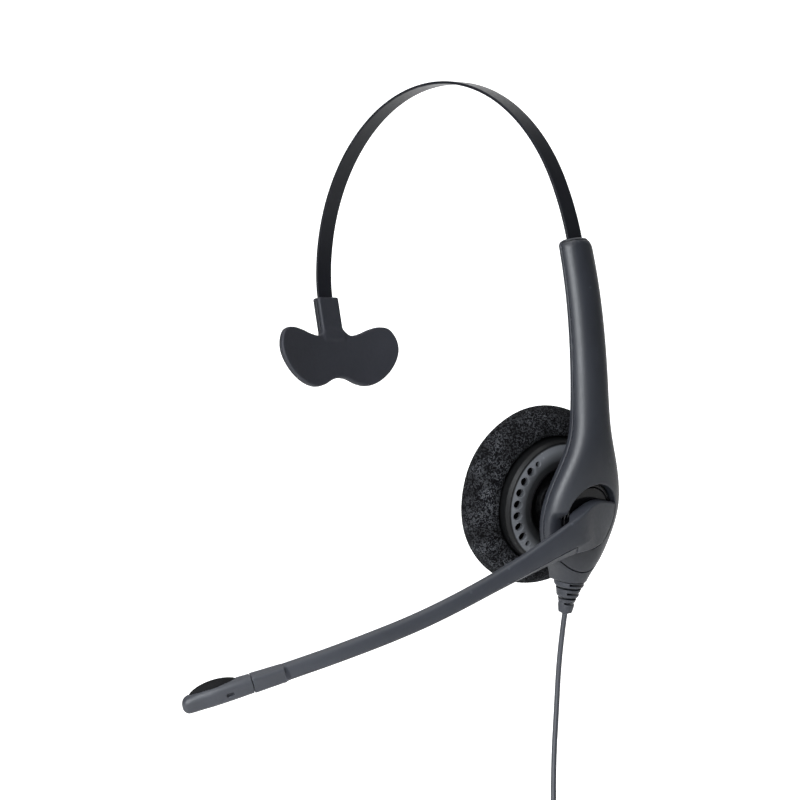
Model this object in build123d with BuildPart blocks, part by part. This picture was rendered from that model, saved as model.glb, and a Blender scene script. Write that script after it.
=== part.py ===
from build123d import *
import math
import os

os.makedirs("parts", exist_ok=True)

# ---------------------------------------------------------------- driving sizes (mm)
# Origin: centre of the wearer's head on the ear axis. +X toward the ear cup,
# -Y toward the mouth, +Z up.
TILT = math.radians(10.1)          # hub and ear cup lean, bottom toward the head
YAW = math.radians(-5.64)          # ear cup toe-in at rest on its ball joint
PIVOT = (78.0, 0.0, -6.5)          # boom pivot on the hub's outer face
CUP = (54.0, -3.39, 0.0)           # centre of the foam cushion
SLIDE_R = 190.0                    # radius of the band inside the arm
SLIDE_C = (75.8 - SLIDE_R, 35.0)   # its centre, x and z
BAND_W, BAND_T = 6.2, 1.0
WALL = 1.2
CORD_D = 1.8
SEAM = 0.14
BALL_R, LINER_IN, LINER_OUT, SOCKET_R = 3.5, 3.55, 4.3, 4.35
POCKET_R, POCKET_FLOOR, ROTOR_R = 11.0, -4.2, 10.6

NB = (math.cos(TILT), 0.0, -math.sin(TILT))
NC = (math.cos(TILT) * math.cos(YAW), math.cos(TILT) * math.sin(YAW), -math.sin(TILT))
PB = Plane(origin=PIVOT, x_dir=(0, 1, 0), z_dir=NB)
PC = Plane(origin=CUP, x_dir=(-math.sin(YAW), math.cos(YAW), 0), z_dir=NC)


def on(plane, h):
    return plane.offset(h)


# ---------------------------------------------------------------- arm and hub outline
# z, inner face x, outer crown x, half width, height of the straight side wall
ARM = [
    (90.0, 65.7, 71.5, 5.6, 1.4), (76.6, 69.2, 75.1, 6.0, 1.5), (63.7, 71.7, 77.8, 6.2, 1.6),
    (50.8, 73.2, 79.6, 6.4, 1.7), (37.8, 73.95, 80.7, 6.6, 1.9), (28.0, 74.1, 81.2, 6.85, 2.1),
    (21.7, 74.05, 81.5, 7.3, 2.3), (17.0, 73.8, 81.6, 8.4, 2.4), (12.0, 73.0, 81.35, 10.25, 2.6),
    (7.0, 71.95, 80.65, 12.35, 2.7), (2.0, 70.75, 79.75, 14.2, 2.7), (-3.0, 69.6, 78.75, 15.2, 2.8),
    (-8.0, 68.4, 77.6, 15.1, 2.8), (-13.0, 67.3, 76.4, 13.8, 2.9), (-18.0, 66.4, 75.4, 11.5, 3.0),
    (-22.7, 65.4, 74.3, 8.6, 3.0), (-27.5, 63.2, 72.3, 5.3, 3.4),
    (-30.0, 62.3, 71.3, 4.6, 3.4),
]


def arm_at(z, col):
    for a, b in zip(ARM, ARM[1:]):
        if a[0] >= z >= b[0]:
            k = (a[0] - z) / (a[0] - b[0])
            return a[col] + (b[col] - a[col]) * k
    return ARM[0][col] if z > ARM[0][0] else ARM[-1][col]


def arm_section(xi, xo, b, s, c):
    """Flat inner face, chamfered corners, short side walls and a domed crown."""
    pts = []
    for i in range(11):
        th = math.radians(-90 + 18 * i)
        sn, cs = math.sin(th), max(math.cos(th), 0.0)
        y = b * math.copysign(abs(sn) ** (2 / 2.4), sn)
        pts.append((xi + s + (xo - xi - s) * cs ** (2 / 2.4), y))
    pts[0], pts[-1] = (xi + s, -b), (xi + s, b)
    Spline(*pts, tangents=[(1, 0), (-1, 0)])
    Polyline((xi + s, b), (xi + c, b), (xi, b - c), (xi, -(b - c)), (xi + c, -b), (xi + s, -b))


END_DIR = (-0.2526, 0, 0.9676)
# strain relief axis
SR_DIR = (-0.186, 0, -0.9825)
PS = Plane(origin=(67.55, 0, -25.9), x_dir=(0, 1, 0), z_dir=SR_DIR)
END_PLANE = Plane(origin=(70.6, 0, 82.6), x_dir=(0, 1, 0), z_dir=END_DIR)

with BuildPart() as arm_blank:
    for z, xi, xo, b, s in ARM:
        with BuildSketch(Plane.XY.offset(z)):
            with BuildLine():
                arm_section(xi, xo, b, s, 0.7)
            make_face()
    loft()
    split(bisect_by=END_PLANE, keep=Keep.BOTTOM)
    split(bisect_by=PS.offset(1.95), keep=Keep.BOTTOM)

with BuildPart() as arm_cavity:
    for z, xi, xo, b, s in ARM[:-2]:
        with BuildSketch(Plane.XY.offset(z)):
            with BuildLine():
                arm_section(xi + 1.0, xo - WALL, b - WALL, s - 0.2, 0.3)
            make_face()
    loft()
    split(bisect_by=END_PLANE.offset(-1.3), keep=Keep.BOTTOM)

# side view of the parting line: the outer shell is everything outboard of it
PART_Z = [84.0, 76.6, 63.7, 50.8, 37.8, 28.0, 21.7, 17.0, 12.0, 7.0, 2.0, -3.0, -8.0, -13.0, -18.0, -24.3]


def parting_pts(off):
    return [(arm_at(z, 1) + 0.9 + 0.75 * arm_at(z, 4) * 0.6 + off, z) for z in PART_Z]


with BuildPart() as outer_zone:
    with BuildSketch(Plane.XZ):
        with BuildLine():
            p = parting_pts(0.0)
            Spline(*p)
            Polyline(p[-1], (110, p[-1][1]), (110, 110), (p[0][0], 110), p[0])
        make_face()
    extrude(amount=30, both=True)
    split(bisect_by=END_PLANE.offset(-0.95), keep=Keep.BOTTOM)

with BuildPart() as inner_keepout:
    with BuildSketch(Plane.XZ):
        with BuildLine():
            p = parting_pts(-SEAM)
            p[-1] = (p[-1][0], p[-1][1] - SEAM)
            Spline(*p)
            Polyline(p[-1], (110, p[-1][1]), (110, 110), (p[0][0], 110), p[0])
        make_face()
    extrude(amount=30, both=True)
    split(bisect_by=END_PLANE.offset(-0.95 + SEAM), keep=Keep.BOTTOM)

# solid ground left in the cavity under the boom pocket and around the screws
with BuildPart() as pocket_ground:
    with BuildSketch(on(PB, -5.2)):
        Circle(12.2)
        with Locations((0, -6.5)):
            Rectangle(32, 14)
    extrude(amount=14)

with BuildPart() as pocket_cut:
    with BuildSketch(on(PB, POCKET_FLOOR)):
        Circle(POCKET_R)
        with Locations((0, -5.2)):
            Rectangle(40, 8.0)
    extrude(amount=14)
    fillet(pocket_cut.edges().filter_by(Axis((0, 0, 0), NB)), 1.5)

SCREW_Z = [(24.5, 0.0), (-20.2, 0.0)]

# where the band leaves the arm
E_ANG = math.asin((83.0 - SLIDE_C[1]) / SLIDE_R)
E_PT = (SLIDE_C[0] + SLIDE_R * math.cos(E_ANG), 83.0)

with BuildPart() as screw_posts:
    for z, y in SCREW_Z:
        xi, xo = arm_at(z, 1), arm_at(z, 2)
        with BuildSketch(Plane(origin=(xi + 2.3, y, z), x_dir=(0, 1, 0), z_dir=(1, 0, 0))):
            Circle(2.1)
        extrude(amount=xo - xi - 3.2)

with BuildPart() as screw_bosses:
    for z, y in SCREW_Z:
        xi = arm_at(z, 1)
        with BuildSketch(Plane(origin=(xi + 0.5, y, z), x_dir=(0, 1, 0), z_dir=(1, 0, 0))):
            Circle(2.9)
        extrude(amount=1.7)

with BuildPart() as cavity_trimmed:
    add(arm_cavity.part)
    add(pocket_ground.part, mode=Mode.SUBTRACT)

with BuildPart() as arm_outer_shell:
    add(arm_blank.part)
    add(cavity_trimmed.part, mode=Mode.SUBTRACT)
    add(screw_posts.part)
    add(outer_zone.part, mode=Mode.INTERSECT)
    add(pocket_cut.part, mode=Mode.SUBTRACT)
    with BuildSketch(on(PB, -6.0)):
        Circle(3.05)
    extrude(amount=4, mode=Mode.SUBTRACT)
    for z, y in SCREW_Z:
        with BuildSketch(Plane(origin=(arm_at(z, 1) + 2.0, y, z), x_dir=(0, 1, 0), z_dir=(1, 0, 0))):
            Circle(0.95)
        extrude(amount=3.9, mode=Mode.SUBTRACT)
    with BuildSketch(Plane(origin=(E_PT[0], 0, 83.0), x_dir=(0, 1, 0), z_dir=END_DIR)):
        Rectangle(BAND_W + 0.8, BAND_T + 0.8)
    extrude(amount=6, both=True, mode=Mode.SUBTRACT)
    with BuildSketch(on(PS, -7.0)):
        Circle(4.4)
    extrude(amount=5.4, mode=Mode.SUBTRACT)
    with BuildSketch(on(PS, -4.0)):
        Circle(3.2)
    extrude(amount=8, mode=Mode.SUBTRACT)
arm_outer_shell.part.label = "arm_outer_shell"
export_step(arm_outer_shell.part, "parts/arm_outer_shell.step")

with BuildPart() as arm_inner_shell:
    add(arm_blank.part)
    add(arm_cavity.part, mode=Mode.SUBTRACT)
    add(screw_bosses.part)
    with BuildSketch(on(PC, 14.9)):
        Circle(4.2)
    extrude(amount=2.0)
    add(inner_keepout.part, mode=Mode.SUBTRACT)
    # slot for the band in the end wall
    with BuildSketch(Plane(origin=(E_PT[0], 0, 83.0), x_dir=(0, 1, 0), z_dir=END_DIR)):
        Rectangle(BAND_W + 0.8, BAND_T + 0.8)
    extrude(amount=6, both=True, mode=Mode.SUBTRACT)
    # hole for the ball stud
    with BuildSketch(on(PC, 12.0)):
        Circle(1.95)
    extrude(amount=8, mode=Mode.SUBTRACT)
    with BuildSketch(on(PC, 16.9)):
        Circle(3.1)
    extrude(amount=3, mode=Mode.SUBTRACT)
    # mouth for the strain relief
    with BuildSketch(on(PS, -7.0)):
        Circle(4.4)
    extrude(amount=5.4, mode=Mode.SUBTRACT)
    with BuildSketch(on(PS, -4.0)):
        Circle(3.2)
    extrude(amount=8, mode=Mode.SUBTRACT)
    for z, y in SCREW_Z:
        xi = arm_at(z, 1)
        with BuildSketch(Plane(origin=(xi - 3.0, y, z), x_dir=(0, 1, 0), z_dir=(1, 0, 0))):
            Circle(2.05)
        extrude(amount=4.2, mode=Mode.SUBTRACT)
        with BuildSketch(Plane(origin=(xi - 3.0, y, z), x_dir=(0, 1, 0), z_dir=(1, 0, 0))):
            Circle(1.05)
        extrude(amount=8, mode=Mode.SUBTRACT)
arm_inner_shell.part.label = "arm_inner_shell"
export_step(arm_inner_shell.part, "parts/arm_inner_shell.step")

with BuildPart() as shell_screws:
    for z, y in SCREW_Z:
        xi = arm_at(z, 1)
        with BuildSketch(Plane(origin=(xi + 0.2, y, z), x_dir=(0, 1, 0), z_dir=(1, 0, 0))):
            Circle(1.95)
        extrude(amount=1.0)
        with BuildSketch(Plane(origin=(xi + 1.2, y, z), x_dir=(0, 1, 0), z_dir=(1, 0, 0))):
            Circle(0.9)
        extrude(amount=4.3)
shell_screws.part.label = "shell_screws"
export_step(shell_screws.part, "parts/shell_screws.step")

# ---------------------------------------------------------------- ball stud
with BuildPart() as ball_stud:
    with BuildSketch(on(PC, 9.5)):
        Circle(1.9)
    extrude(amount=7.4)
    with BuildSketch(on(PC, 16.9)):
        Circle(2.8)
    extrude(amount=0.8)
    add(Sphere(BALL_R, mode=Mode.PRIVATE).moved(on(PC, 9.5).location))
ball_stud.part.label = "ball_stud"
export_step(ball_stud.part, "parts/ball_stud.step")

with BuildPart() as junction_board:
    with BuildSketch(on(PB, -7.75)):
        with Locations((0, -8.6)):
            Rectangle(12, 5.6)
    extrude(amount=0.8)
junction_board.part.label = "junction_board"
export_step(junction_board.part, "parts/junction_board.step")

# ---------------------------------------------------------------- strain relief
with BuildPart() as strain_relief:
    with BuildSketch(Plane.XZ):
        with BuildLine():
            Polyline((0, -2.6), (4.2, -2.6), (4.2, -1.7), (3.1, -1.7), (3.1, 2.1), (5.15, 2.2), (4.9, 3.2),
                     (3.9, 5.0), (3.5, 6.9), (2.55, 9.6), (2.35, 11.2), (1.6, 13.3), (0, 13.3), (0, -2.6))
        make_face()
    revolve(axis=Axis.Z)
    # slots cut in from alternate sides
    for k, (h, r) in enumerate([(2.55, 3.2), (4.2, 2.6), (5.9, 2.3), (7.7, 1.9), (9.3, 1.7)]):
        side = 1 if k % 2 == 0 else -1
        with BuildSketch(Plane.XY.offset(h - 0.3)):
            with Locations((side * (5 + r * 0.15), 0)):
                Rectangle(10, 14)
            Circle(1.35, mode=Mode.SUBTRACT)
        extrude(amount=0.62, mode=Mode.SUBTRACT)
strain_relief.part = strain_relief.part.moved(PS.location)
strain_relief.part.label = "strain_relief"
export_step(strain_relief.part, "parts/strain_relief.step")

# ---------------------------------------------------------------- headband
# arcs from the arm's mouth over the head to the temple rest: length, radius
CHAIN = [(21.83, 97.97), (33.87, 65.59), (36.34, 60.25), (36.0, 62.66), (36.12, 66.43), (29.3, 65.84),
         (7.0, 42.0), (15.0, 400.0)]


def chain_points(off):
    """Start, mid and end points of every arc of the band, offset outward."""
    x, z = E_PT
    h = math.pi / 2 + E_ANG
    out = []
    for length, rad in CHAIN:
        dh = length / rad
        cx, cz = x - rad * math.sin(h), z + rad * math.cos(h)
        row = []
        for k in (0.0, 0.5, 1.0):
            a = h - math.pi / 2 + dh * k
            row.append((cx + (rad + off) * math.cos(a), cz + (rad + off) * math.sin(a)))
        out.append(row)
        x, z = cx + rad * math.cos(h - math.pi / 2 + dh), cz + rad * math.sin(h - math.pi / 2 + dh)
        h += dh
    return out, (x, z), h


def slide_pt(r, s):
    """Point at arc length s below the arm's mouth, on radius r."""
    a = E_ANG - s / SLIDE_R
    return (SLIDE_C[0] + r * math.cos(a), SLIDE_C[1] + r * math.sin(a))


TAIL = 47.0
outer_arcs, band_end, band_head = chain_points(BAND_T / 2)
inner_arcs, _, _ = chain_points(-BAND_T / 2)

with BuildPart() as headband_strip:
    with BuildSketch(Plane.XZ):
        with BuildLine():
            ro, ri = SLIDE_R + BAND_T / 2, SLIDE_R - BAND_T / 2
            ThreePointArc(slide_pt(ro, TAIL), slide_pt(ro, TAIL / 2), slide_pt(ro, 0))
            for a, b, c in outer_arcs:
                ThreePointArc(a, b, c)
            Line(outer_arcs[-1][2], inner_arcs[-1][2])
            for a, b, c in reversed(inner_arcs):
                ThreePointArc(c, b, a)
            ThreePointArc(slide_pt(ri, 0), slide_pt(ri, TAIL / 2), slide_pt(ri, TAIL))
            Line(slide_pt(ri, TAIL), slide_pt(ro, TAIL))
        make_face()
    extrude(amount=BAND_W / 2, both=True)
    for s in (40.0, 44.5):
        a = E_ANG - s / SLIDE_R
        with BuildSketch(Plane(origin=(SLIDE_C[0] + 187 * math.cos(a), 0, SLIDE_C[1] + 187 * math.sin(a)),
                               x_dir=(0, 1, 0), z_dir=(math.cos(a), 0, math.sin(a)))):
            Circle(0.85)
        extrude(amount=6, mode=Mode.SUBTRACT)
headband_strip.part.label = "headband_strip"
export_step(headband_strip.part, "parts/headband_strip.step")

with BuildPart() as slider_shoe:
    with BuildSketch(Plane.XZ):
        with BuildLine():
            r1, r2 = SLIDE_R + BAND_T / 2, SLIDE_R + BAND_T / 2 + 1.3
            ThreePointArc(slide_pt(r2, TAIL), slide_pt(r2, TAIL - 5), slide_pt(r2, TAIL - 10))
            Line(slide_pt(r2, TAIL - 10), slide_pt(r1, TAIL - 10))
            ThreePointArc(slide_pt(r1, TAIL - 10), slide_pt(r1, TAIL - 5), slide_pt(r1, TAIL))
            Line(slide_pt(r1, TAIL), slide_pt(r2, TAIL))
        make_face()
    extrude(amount=3.5, both=True)
    for s in (40.0, 44.5):
        a = E_ANG - s / SLIDE_R
        with BuildSketch(Plane(origin=(SLIDE_C[0] + 187 * math.cos(a), 0, SLIDE_C[1] + 187 * math.sin(a)),
                               x_dir=(0, 1, 0), z_dir=(math.cos(a), 0, math.sin(a)))):
            Circle(0.85)
        extrude(amount=8, mode=Mode.SUBTRACT)
slider_shoe.part.label = "slider_shoe"
export_step(slider_shoe.part, "parts/slider_shoe.step")

with BuildPart() as shoe_rivets:
    for s in (40.0, 44.5):
        a = E_ANG - s / SLIDE_R
        d = SLIDE_R - BAND_T / 2
        with BuildSketch(Plane(origin=(SLIDE_C[0] + d * math.cos(a), 0, SLIDE_C[1] + d * math.sin(a)),
                               x_dir=(0, 1, 0), z_dir=(math.cos(a), 0, math.sin(a)))):
            Circle(0.8)
        extrude(amount=BAND_T + 1.3)
shoe_rivets.part.label = "shoe_rivets"
export_step(shoe_rivets.part, "parts/shoe_rivets.step")

# ---------------------------------------------------------------- temple rest
T_TILT = band_head - 1.5 * math.pi          # lean of the band's last run
T_UP = (-math.sin(T_TILT), 0, math.cos(T_TILT))
T_N = (math.cos(T_TILT), 0, math.sin(T_TILT))
T_H = 43.0                                   # height of the rest's centre
T_X = band_end[0] + (band_end[1] - T_H) * math.tan(T_TILT)
PT = Plane(origin=(T_X, 0, T_H), x_dir=(0, 1, 0), z_dir=T_N)
PAD = [(0, -7.7), (3.2, -8.2), (7.6, -10.1), (12.1, -10.9), (17.4, -9.5), (22.8, -5.3), (26.6, -0.2),
       (27.8, 3.6), (26.9, 7.6), (24.0, 10.2), (20.0, 10.9), (15.6, 10.1), (11.2, 8.6), (7.2, 8.0), (4.6, 9.4)]
PAD_BEND = 130.0


def pad_outline(k):
    right = [(x * k, y * k if y < 0 else y * k) for x, y in PAD]
    left = [(-x, y) for x, y in reversed(right)]
    Spline(*(left + right[1:]))
    Line(right[-1], left[0])


def bend_slab(lo, hi):
    """Slab curved toward the head, drawn looking down the rest's height."""
    c = PAD_BEND
    pts = []
    for y in (-32, 0, 32):
        pts.append(y)
    def f(y, r):
        return c - math.sqrt(r * r - y * y)
    ThreePointArc((-32, f(-32, c - lo)), (0, lo), (32, f(32, c - lo)))
    Line((32, f(32, c - lo)), (32, f(32, c - hi)))
    ThreePointArc((32, f(32, c - hi)), (0, hi), (-32, f(-32, c - hi)))
    Line((-32, f(-32, c - hi)), (-32, f(-32, c - lo)))


# plane seen from above the rest: x along Y, y along the rest's normal
PTOP = Plane(origin=(T_X, 0, T_H), x_dir=(0, 1, 0), z_dir=(T_UP[0] * -1, 0, T_UP[2] * -1))

with BuildPart() as cover_slab:
    with BuildSketch(PTOP.offset(-14)):
        with BuildLine():
            bend_slab(0.55, 2.3)
        make_face()
    extrude(amount=28)

with BuildPart() as back_slab:
    with BuildSketch(PTOP.offset(-14)):
        with BuildLine():
            bend_slab(-1.7, 0.45)
        make_face()
    extrude(amount=28)

with BuildPart() as band_slot:
    with BuildSketch(on(PT, -0.65)):
        with Locations((0, 14.4)):
            Rectangle(BAND_W + 0.2, 20.0)
    extrude(amount=1.3)

with BuildPart() as temple_pad_cover:
    with BuildSketch(on(PT, -6)):
        with BuildLine():
            pad_outline(1.0)
        make_face()
    extrude(amount=14)
    add(cover_slab.part, mode=Mode.INTERSECT)
    with BuildSketch(on(PT, 0.65)):
        with Locations((0, 13.6)):
            Rectangle(8.2, 12.6)
    extrude(amount=1.1)
    add(band_slot.part, mode=Mode.SUBTRACT)
temple_pad_cover.part.label = "temple_pad_cover"
export_step(temple_pad_cover.part, "parts/temple_pad_cover.step")

with BuildPart() as temple_pad_back:
    with BuildSketch(on(PT, -6)):
        with BuildLine():
            pad_outline(0.985)
        make_face()
    extrude(amount=14)
    add(back_slab.part, mode=Mode.INTERSECT)
    with BuildSketch(on(PT, -1.7)):
        with Locations((0, 13.4)):
            Rectangle(8.6, 12.2)
    extrude(amount=2.25)
    add(band_slot.part, mode=Mode.SUBTRACT)
temple_pad_back.part.label = "temple_pad_back"
export_step(temple_pad_back.part, "parts/temple_pad_back.step")

# ---------------------------------------------------------------- boom
with BuildPart() as boom_rotor:
    with BuildSketch(on(PB, -4.0)):
        Circle(ROTOR_R)
    extrude(amount=1.6)
    with BuildSketch(on(PB, -5.5)):
        Circle(3.0)
    extrude(amount=1.5)
    with BuildSketch(on(PB, -5.5)):
        Circle(1.0)
    extrude(amount=2.6, mode=Mode.SUBTRACT)
boom_rotor.part.label = "boom_rotor"
export_step(boom_rotor.part, "parts/boom_rotor.step")

with BuildPart() as pivot_washer:
    with BuildSketch(on(PB, -5.9)):
        Circle(3.9)
        Circle(1.1, mode=Mode.SUBTRACT)
    extrude(amount=0.4)
pivot_washer.part.label = "pivot_washer"
export_step(pivot_washer.part, "parts/pivot_washer.step")

with BuildPart() as pivot_screw:
    with BuildSketch(on(PB, -6.9)):
        Circle(2.0)
    extrude(amount=1.0)
    with BuildSketch(on(PB, -5.9)):
        Circle(0.95)
    extrude(amount=2.9)
pivot_screw.part.label = "pivot_screw"
export_step(pivot_screw.part, "parts/pivot_screw.step")

# centre line of the boom in pivot-plane coordinates, width and thickness
BOOM = [
    (-8.6, -4.0, 2.3, 11.6, 3.0), (-13.0, -5.8, 2.4, 9.9, 3.2), (-19.5, -8.6, 2.3, 8.0, 3.4),
    (-27.41, -12.13, 1.7, 6.5, 3.7), (-41.31, -17.88, 0.49, 5.3, 3.9), (-53.23, -23.29, -1.25, 5.0, 4.0),
    (-67.15, -29.39, -4.17, 4.9, 4.0), (-82.07, -35.3, -8.3, 4.9, 4.0), (-98.49, -41.75, -14.09, 4.9, 4.1),
    (-107.6, -45.45, -17.9, 5.0, 4.2),
]
SLEEVE = [(-107.95, -45.6, -18.05, 5.9, 5.0), (-112.5, -47.4, -20.1, 5.95, 5.1), (-116.8, -49.2, -22.1, 6.0, 5.2)]
MIC = [(-117.0, -49.3, -22.2, 6.7, 5.6), (-121.9, -51.4, -24.7, 6.9, 5.8), (-127.0, -53.6, -27.3, 6.4, 5.7),
       (-131.4, -55.8, -29.9, 5.2, 5.0), (-134.0, -57.2, -31.4, 3.4, 3.6), (-134.9, -57.7, -32.0, 1.6, 1.8)]


def world(q):
    x, y, h = q[:3]
    p = PB.from_local_coords((x, y, h))
    return Vector(p.X, p.Y, p.Z)


def frames(rows):
    """Section planes square to the line through the rows."""
    pts = [world(r) for r in rows]
    nb = Vector(*NB)
    out = []
    for i, p in enumerate(pts):
        a, b = pts[max(i - 1, 0)], pts[min(i + 1, len(pts) - 1)]
        t = (b - a).normalized()
        w = t.cross(nb).normalized()
        out.append(Plane(origin=p, x_dir=w, z_dir=t))
    return out


with BuildPart() as boom_outer_half:
    for pl, (_, _, _, w, t) in zip(frames(BOOM), BOOM):
        with BuildSketch(pl):
            with BuildLine():
                # local y points to the inner side
                Polyline((-0.22 * w, -0.5 * t), (-0.22 * w, 0.5 * t), (0.36 * w, 0.5 * t), (0.5 * w, 0.2 * t),
                         (0.5 * w, -0.05 * t))
                ThreePointArc((0.5 * w, -0.05 * t), (0.22 * w, -0.4 * t), (-0.22 * w, -0.5 * t))
            make_face()
    loft()
    # leaf-shaped root that stands on the rotor
    with BuildSketch(on(PB, -2.4)):
        with BuildLine():
            Spline((-10.0, 0.4), (-6.3, 2.4), (-2.4, 4.4), (1.6, 5.7), (5.6, 4.9), (8.6, 1.6), (9.6, -2.6),
                   (7.9, -6.2), (4.6, -8.5), (1.5, -9.7), (-2.0, -10.2), (-6.0, -10.2), (-8.9, -6.8), (-10.0, 0.4))
        make_face()
        Circle(10.4, mode=Mode.INTERSECT)
    extrude(amount=3.6)
boom_outer_half.part.label = "boom_outer_half"
export_step(boom_outer_half.part, "parts/boom_outer_half.step")

with BuildPart() as boom_inner_half:
    rows = BOOM[1:]
    for pl, (_, _, _, w, t) in zip(frames(BOOM)[1:], rows):
        with BuildSketch(pl):
            with BuildLine():
                g = 0.22 * w + 0.1
                Polyline((-g, -0.47 * t), (-g, 0.5 * t), (-0.42 * w, 0.5 * t), (-0.5 * w, 0.25 * t), (-0.5 * w, -0.02 * t),
                         (-g, -0.47 * t))
            make_face()
    loft()
boom_inner_half.part.label = "boom_inner_half"
export_step(boom_inner_half.part, "parts/boom_inner_half.step")


with BuildPart() as mic_sleeve:
    for pl, (_, _, _, w, t) in zip(frames(SLEEVE), SLEEVE):
        with BuildSketch(pl):
            RectangleRounded(w, t, 1.5)
    loft()
mic_sleeve.part.label = "mic_sleeve"
export_step(mic_sleeve.part, "parts/mic_sleeve.step")

MIC_PL = frames(MIC)
with BuildPart() as mic_bore:
    with BuildSketch(MIC_PL[2].offset(-3.2)):
        Circle(2.15)
    extrude(amount=5.2)

with BuildPart() as grille_seat:
    with BuildSketch(Plane(origin=MIC_PL[2].origin, x_dir=MIC_PL[2].z_dir, z_dir=MIC_PL[2].x_dir)):
        Ellipse(5.6, 2.05)
    extrude(amount=6)

with BuildPart() as mic_housing:
    for pl, (_, _, _, w, t) in zip(MIC_PL, MIC):
        with BuildSketch(pl):
            RectangleRounded(w, t, min(w, t) * 0.36)
    loft()
    add(mic_bore.part, mode=Mode.SUBTRACT)
    add(grille_seat.part, mode=Mode.SUBTRACT)
    # oval port on the outer face
    with BuildSketch(Plane(origin=MIC_PL[1].origin, x_dir=MIC_PL[1].z_dir, z_dir=MIC_PL[1].y_dir * -1).offset(1.9)):
        SlotOverall(2.2, 0.95)
    extrude(amount=3, mode=Mode.SUBTRACT)
mic_housing.part.label = "mic_housing"
export_step(mic_housing.part, "parts/mic_housing.step")

with BuildPart() as mic_grille:
    with BuildSketch(Plane(origin=MIC_PL[2].origin, x_dir=MIC_PL[2].z_dir, z_dir=MIC_PL[2].x_dir).offset(2.5)):
        Ellipse(5.5, 1.95)
    with BuildSketch(Plane(origin=MIC_PL[2].origin, x_dir=MIC_PL[2].z_dir, z_dir=MIC_PL[2].x_dir).offset(4.3)):
        Ellipse(4.6, 1.5)
    loft()
mic_grille.part.label = "mic_grille"
export_step(mic_grille.part, "parts/mic_grille.step")

with BuildPart() as mic_boot:
    with BuildSketch(MIC_PL[2].offset(-3.2)):
        Circle(2.1)
        Circle(1.65, mode=Mode.SUBTRACT)
    extrude(amount=5.0)
mic_boot.part.label = "mic_boot"
export_step(mic_boot.part, "parts/mic_boot.step")

with BuildPart() as mic_capsule:
    with BuildSketch(MIC_PL[2].offset(-2.6)):
        Circle(1.6)
    extrude(amount=3.4)
mic_capsule.part.label = "mic_capsule"
export_step(mic_capsule.part, "parts/mic_capsule.step")

# ---------------------------------------------------------------- ear cup
with BuildPart() as socket_liner:
    add(Sphere(LINER_OUT, mode=Mode.PRIVATE))
    add(Sphere(LINER_IN, mode=Mode.PRIVATE), mode=Mode.SUBTRACT)
    with BuildSketch(Plane.XY.offset(2.3)):
        Circle(8)
    extrude(amount=6, mode=Mode.SUBTRACT)
socket_liner.part = socket_liner.part.moved(on(PC, 9.5).location)
socket_liner.part.label = "socket_liner"
export_step(socket_liner.part, "parts/socket_liner.step")


def ring_line(pts):
    """Closed section of a turned piece: radius, height."""
    Polyline(*pts, pts[0])


VENT_R = 17.1
VENT_STEP = 12.95
with BuildPart() as speaker_back:
    with BuildSketch(Plane.XZ):
        with BuildLine():
            ring_line([(0, 3.9), (7.2, 3.9), (7.2, 8.6), (12.4, 9.3), (13.6, 11.6), (14.8, 12.5), (19.2, 11.6), (19.8, 10.6), (20.1, 5.2),
            (24.4, 5.0), (24.4, 3.4), (24.8, 3.4), (24.8, 6.0), (21.0, 6.2), (20.8, 11.4), (19.9, 12.9), (15.2, 13.9),
            (13.6, 13.2), (11.9, 10.5), (7.0, 10.1), (6.4, 11.7), (0, 11.7)])
        make_face()
    revolve(axis=Axis.Z)
    add(Sphere(SOCKET_R, mode=Mode.PRIVATE).moved(Location((0, 0, 9.5))), mode=Mode.SUBTRACT)
    with BuildSketch(Plane.XY.offset(10.5)):
        Circle(3.75)
    extrude(amount=4, mode=Mode.SUBTRACT)
    for base in (180.0, 0.0):
        for k in range(-4, 5):
            a = math.radians(base - 1.0 + (k * VENT_STEP if abs(k) < 4 else math.copysign(50.3, k)))
            with BuildSketch(Plane.XY.offset(10.2)):
                with Locations((VENT_R * math.cos(a), VENT_R * math.sin(a))):
                    Circle(0.75 if abs(k) == 4 else 1.3)
            extrude(amount=5, mode=Mode.SUBTRACT)
speaker_back.part = speaker_back.part.moved(PC.location)
speaker_back.part.label = "speaker_back"
export_step(speaker_back.part, "parts/speaker_back.step")

with BuildPart() as vent_felt:
    with BuildSketch(Plane.XZ):
        with BuildLine():
            ring_line([(15.3, 10.3), (19.3, 10.3), (19.3, 10.9), (15.3, 10.9)])
        make_face()
    revolve(axis=Axis.Z)
vent_felt.part = vent_felt.part.moved(PC.location)
vent_felt.part.label = "vent_felt"
export_step(vent_felt.part, "parts/vent_felt.step")

with BuildPart() as cushion_ring:
    with BuildSketch(Plane.XZ):
        with BuildLine():
            ring_line([(21.2, 6.35), (24.8, 6.15), (24.8, 6.9), (21.2, 7.1)])
        make_face()
    revolve(axis=Axis.Z)
cushion_ring.part = cushion_ring.part.moved(PC.location)
cushion_ring.part.label = "cushion_ring"
export_step(cushion_ring.part, "parts/cushion_ring.step")

with BuildPart() as speaker_baffle:
    with BuildSketch(Plane.XZ):
        with BuildLine():
            ring_line([(0, -3.2), (24.8, -3.2), (24.8, 3.3), (24.0, 3.3), (24.0, -1.9), (0, -1.9)])
        make_face()
    revolve(axis=Axis.Z)
    for ring, count in ((4.0, 6), (8.0, 12), (12.0, 18)):
        with BuildSketch(Plane.XY.offset(-4)):
            with PolarLocations(ring, count):
                Circle(0.9)
        extrude(amount=4, mode=Mode.SUBTRACT)
speaker_baffle.part = speaker_baffle.part.moved(PC.location)
speaker_baffle.part.label = "speaker_baffle"
export_step(speaker_baffle.part, "parts/speaker_baffle.step")

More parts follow.
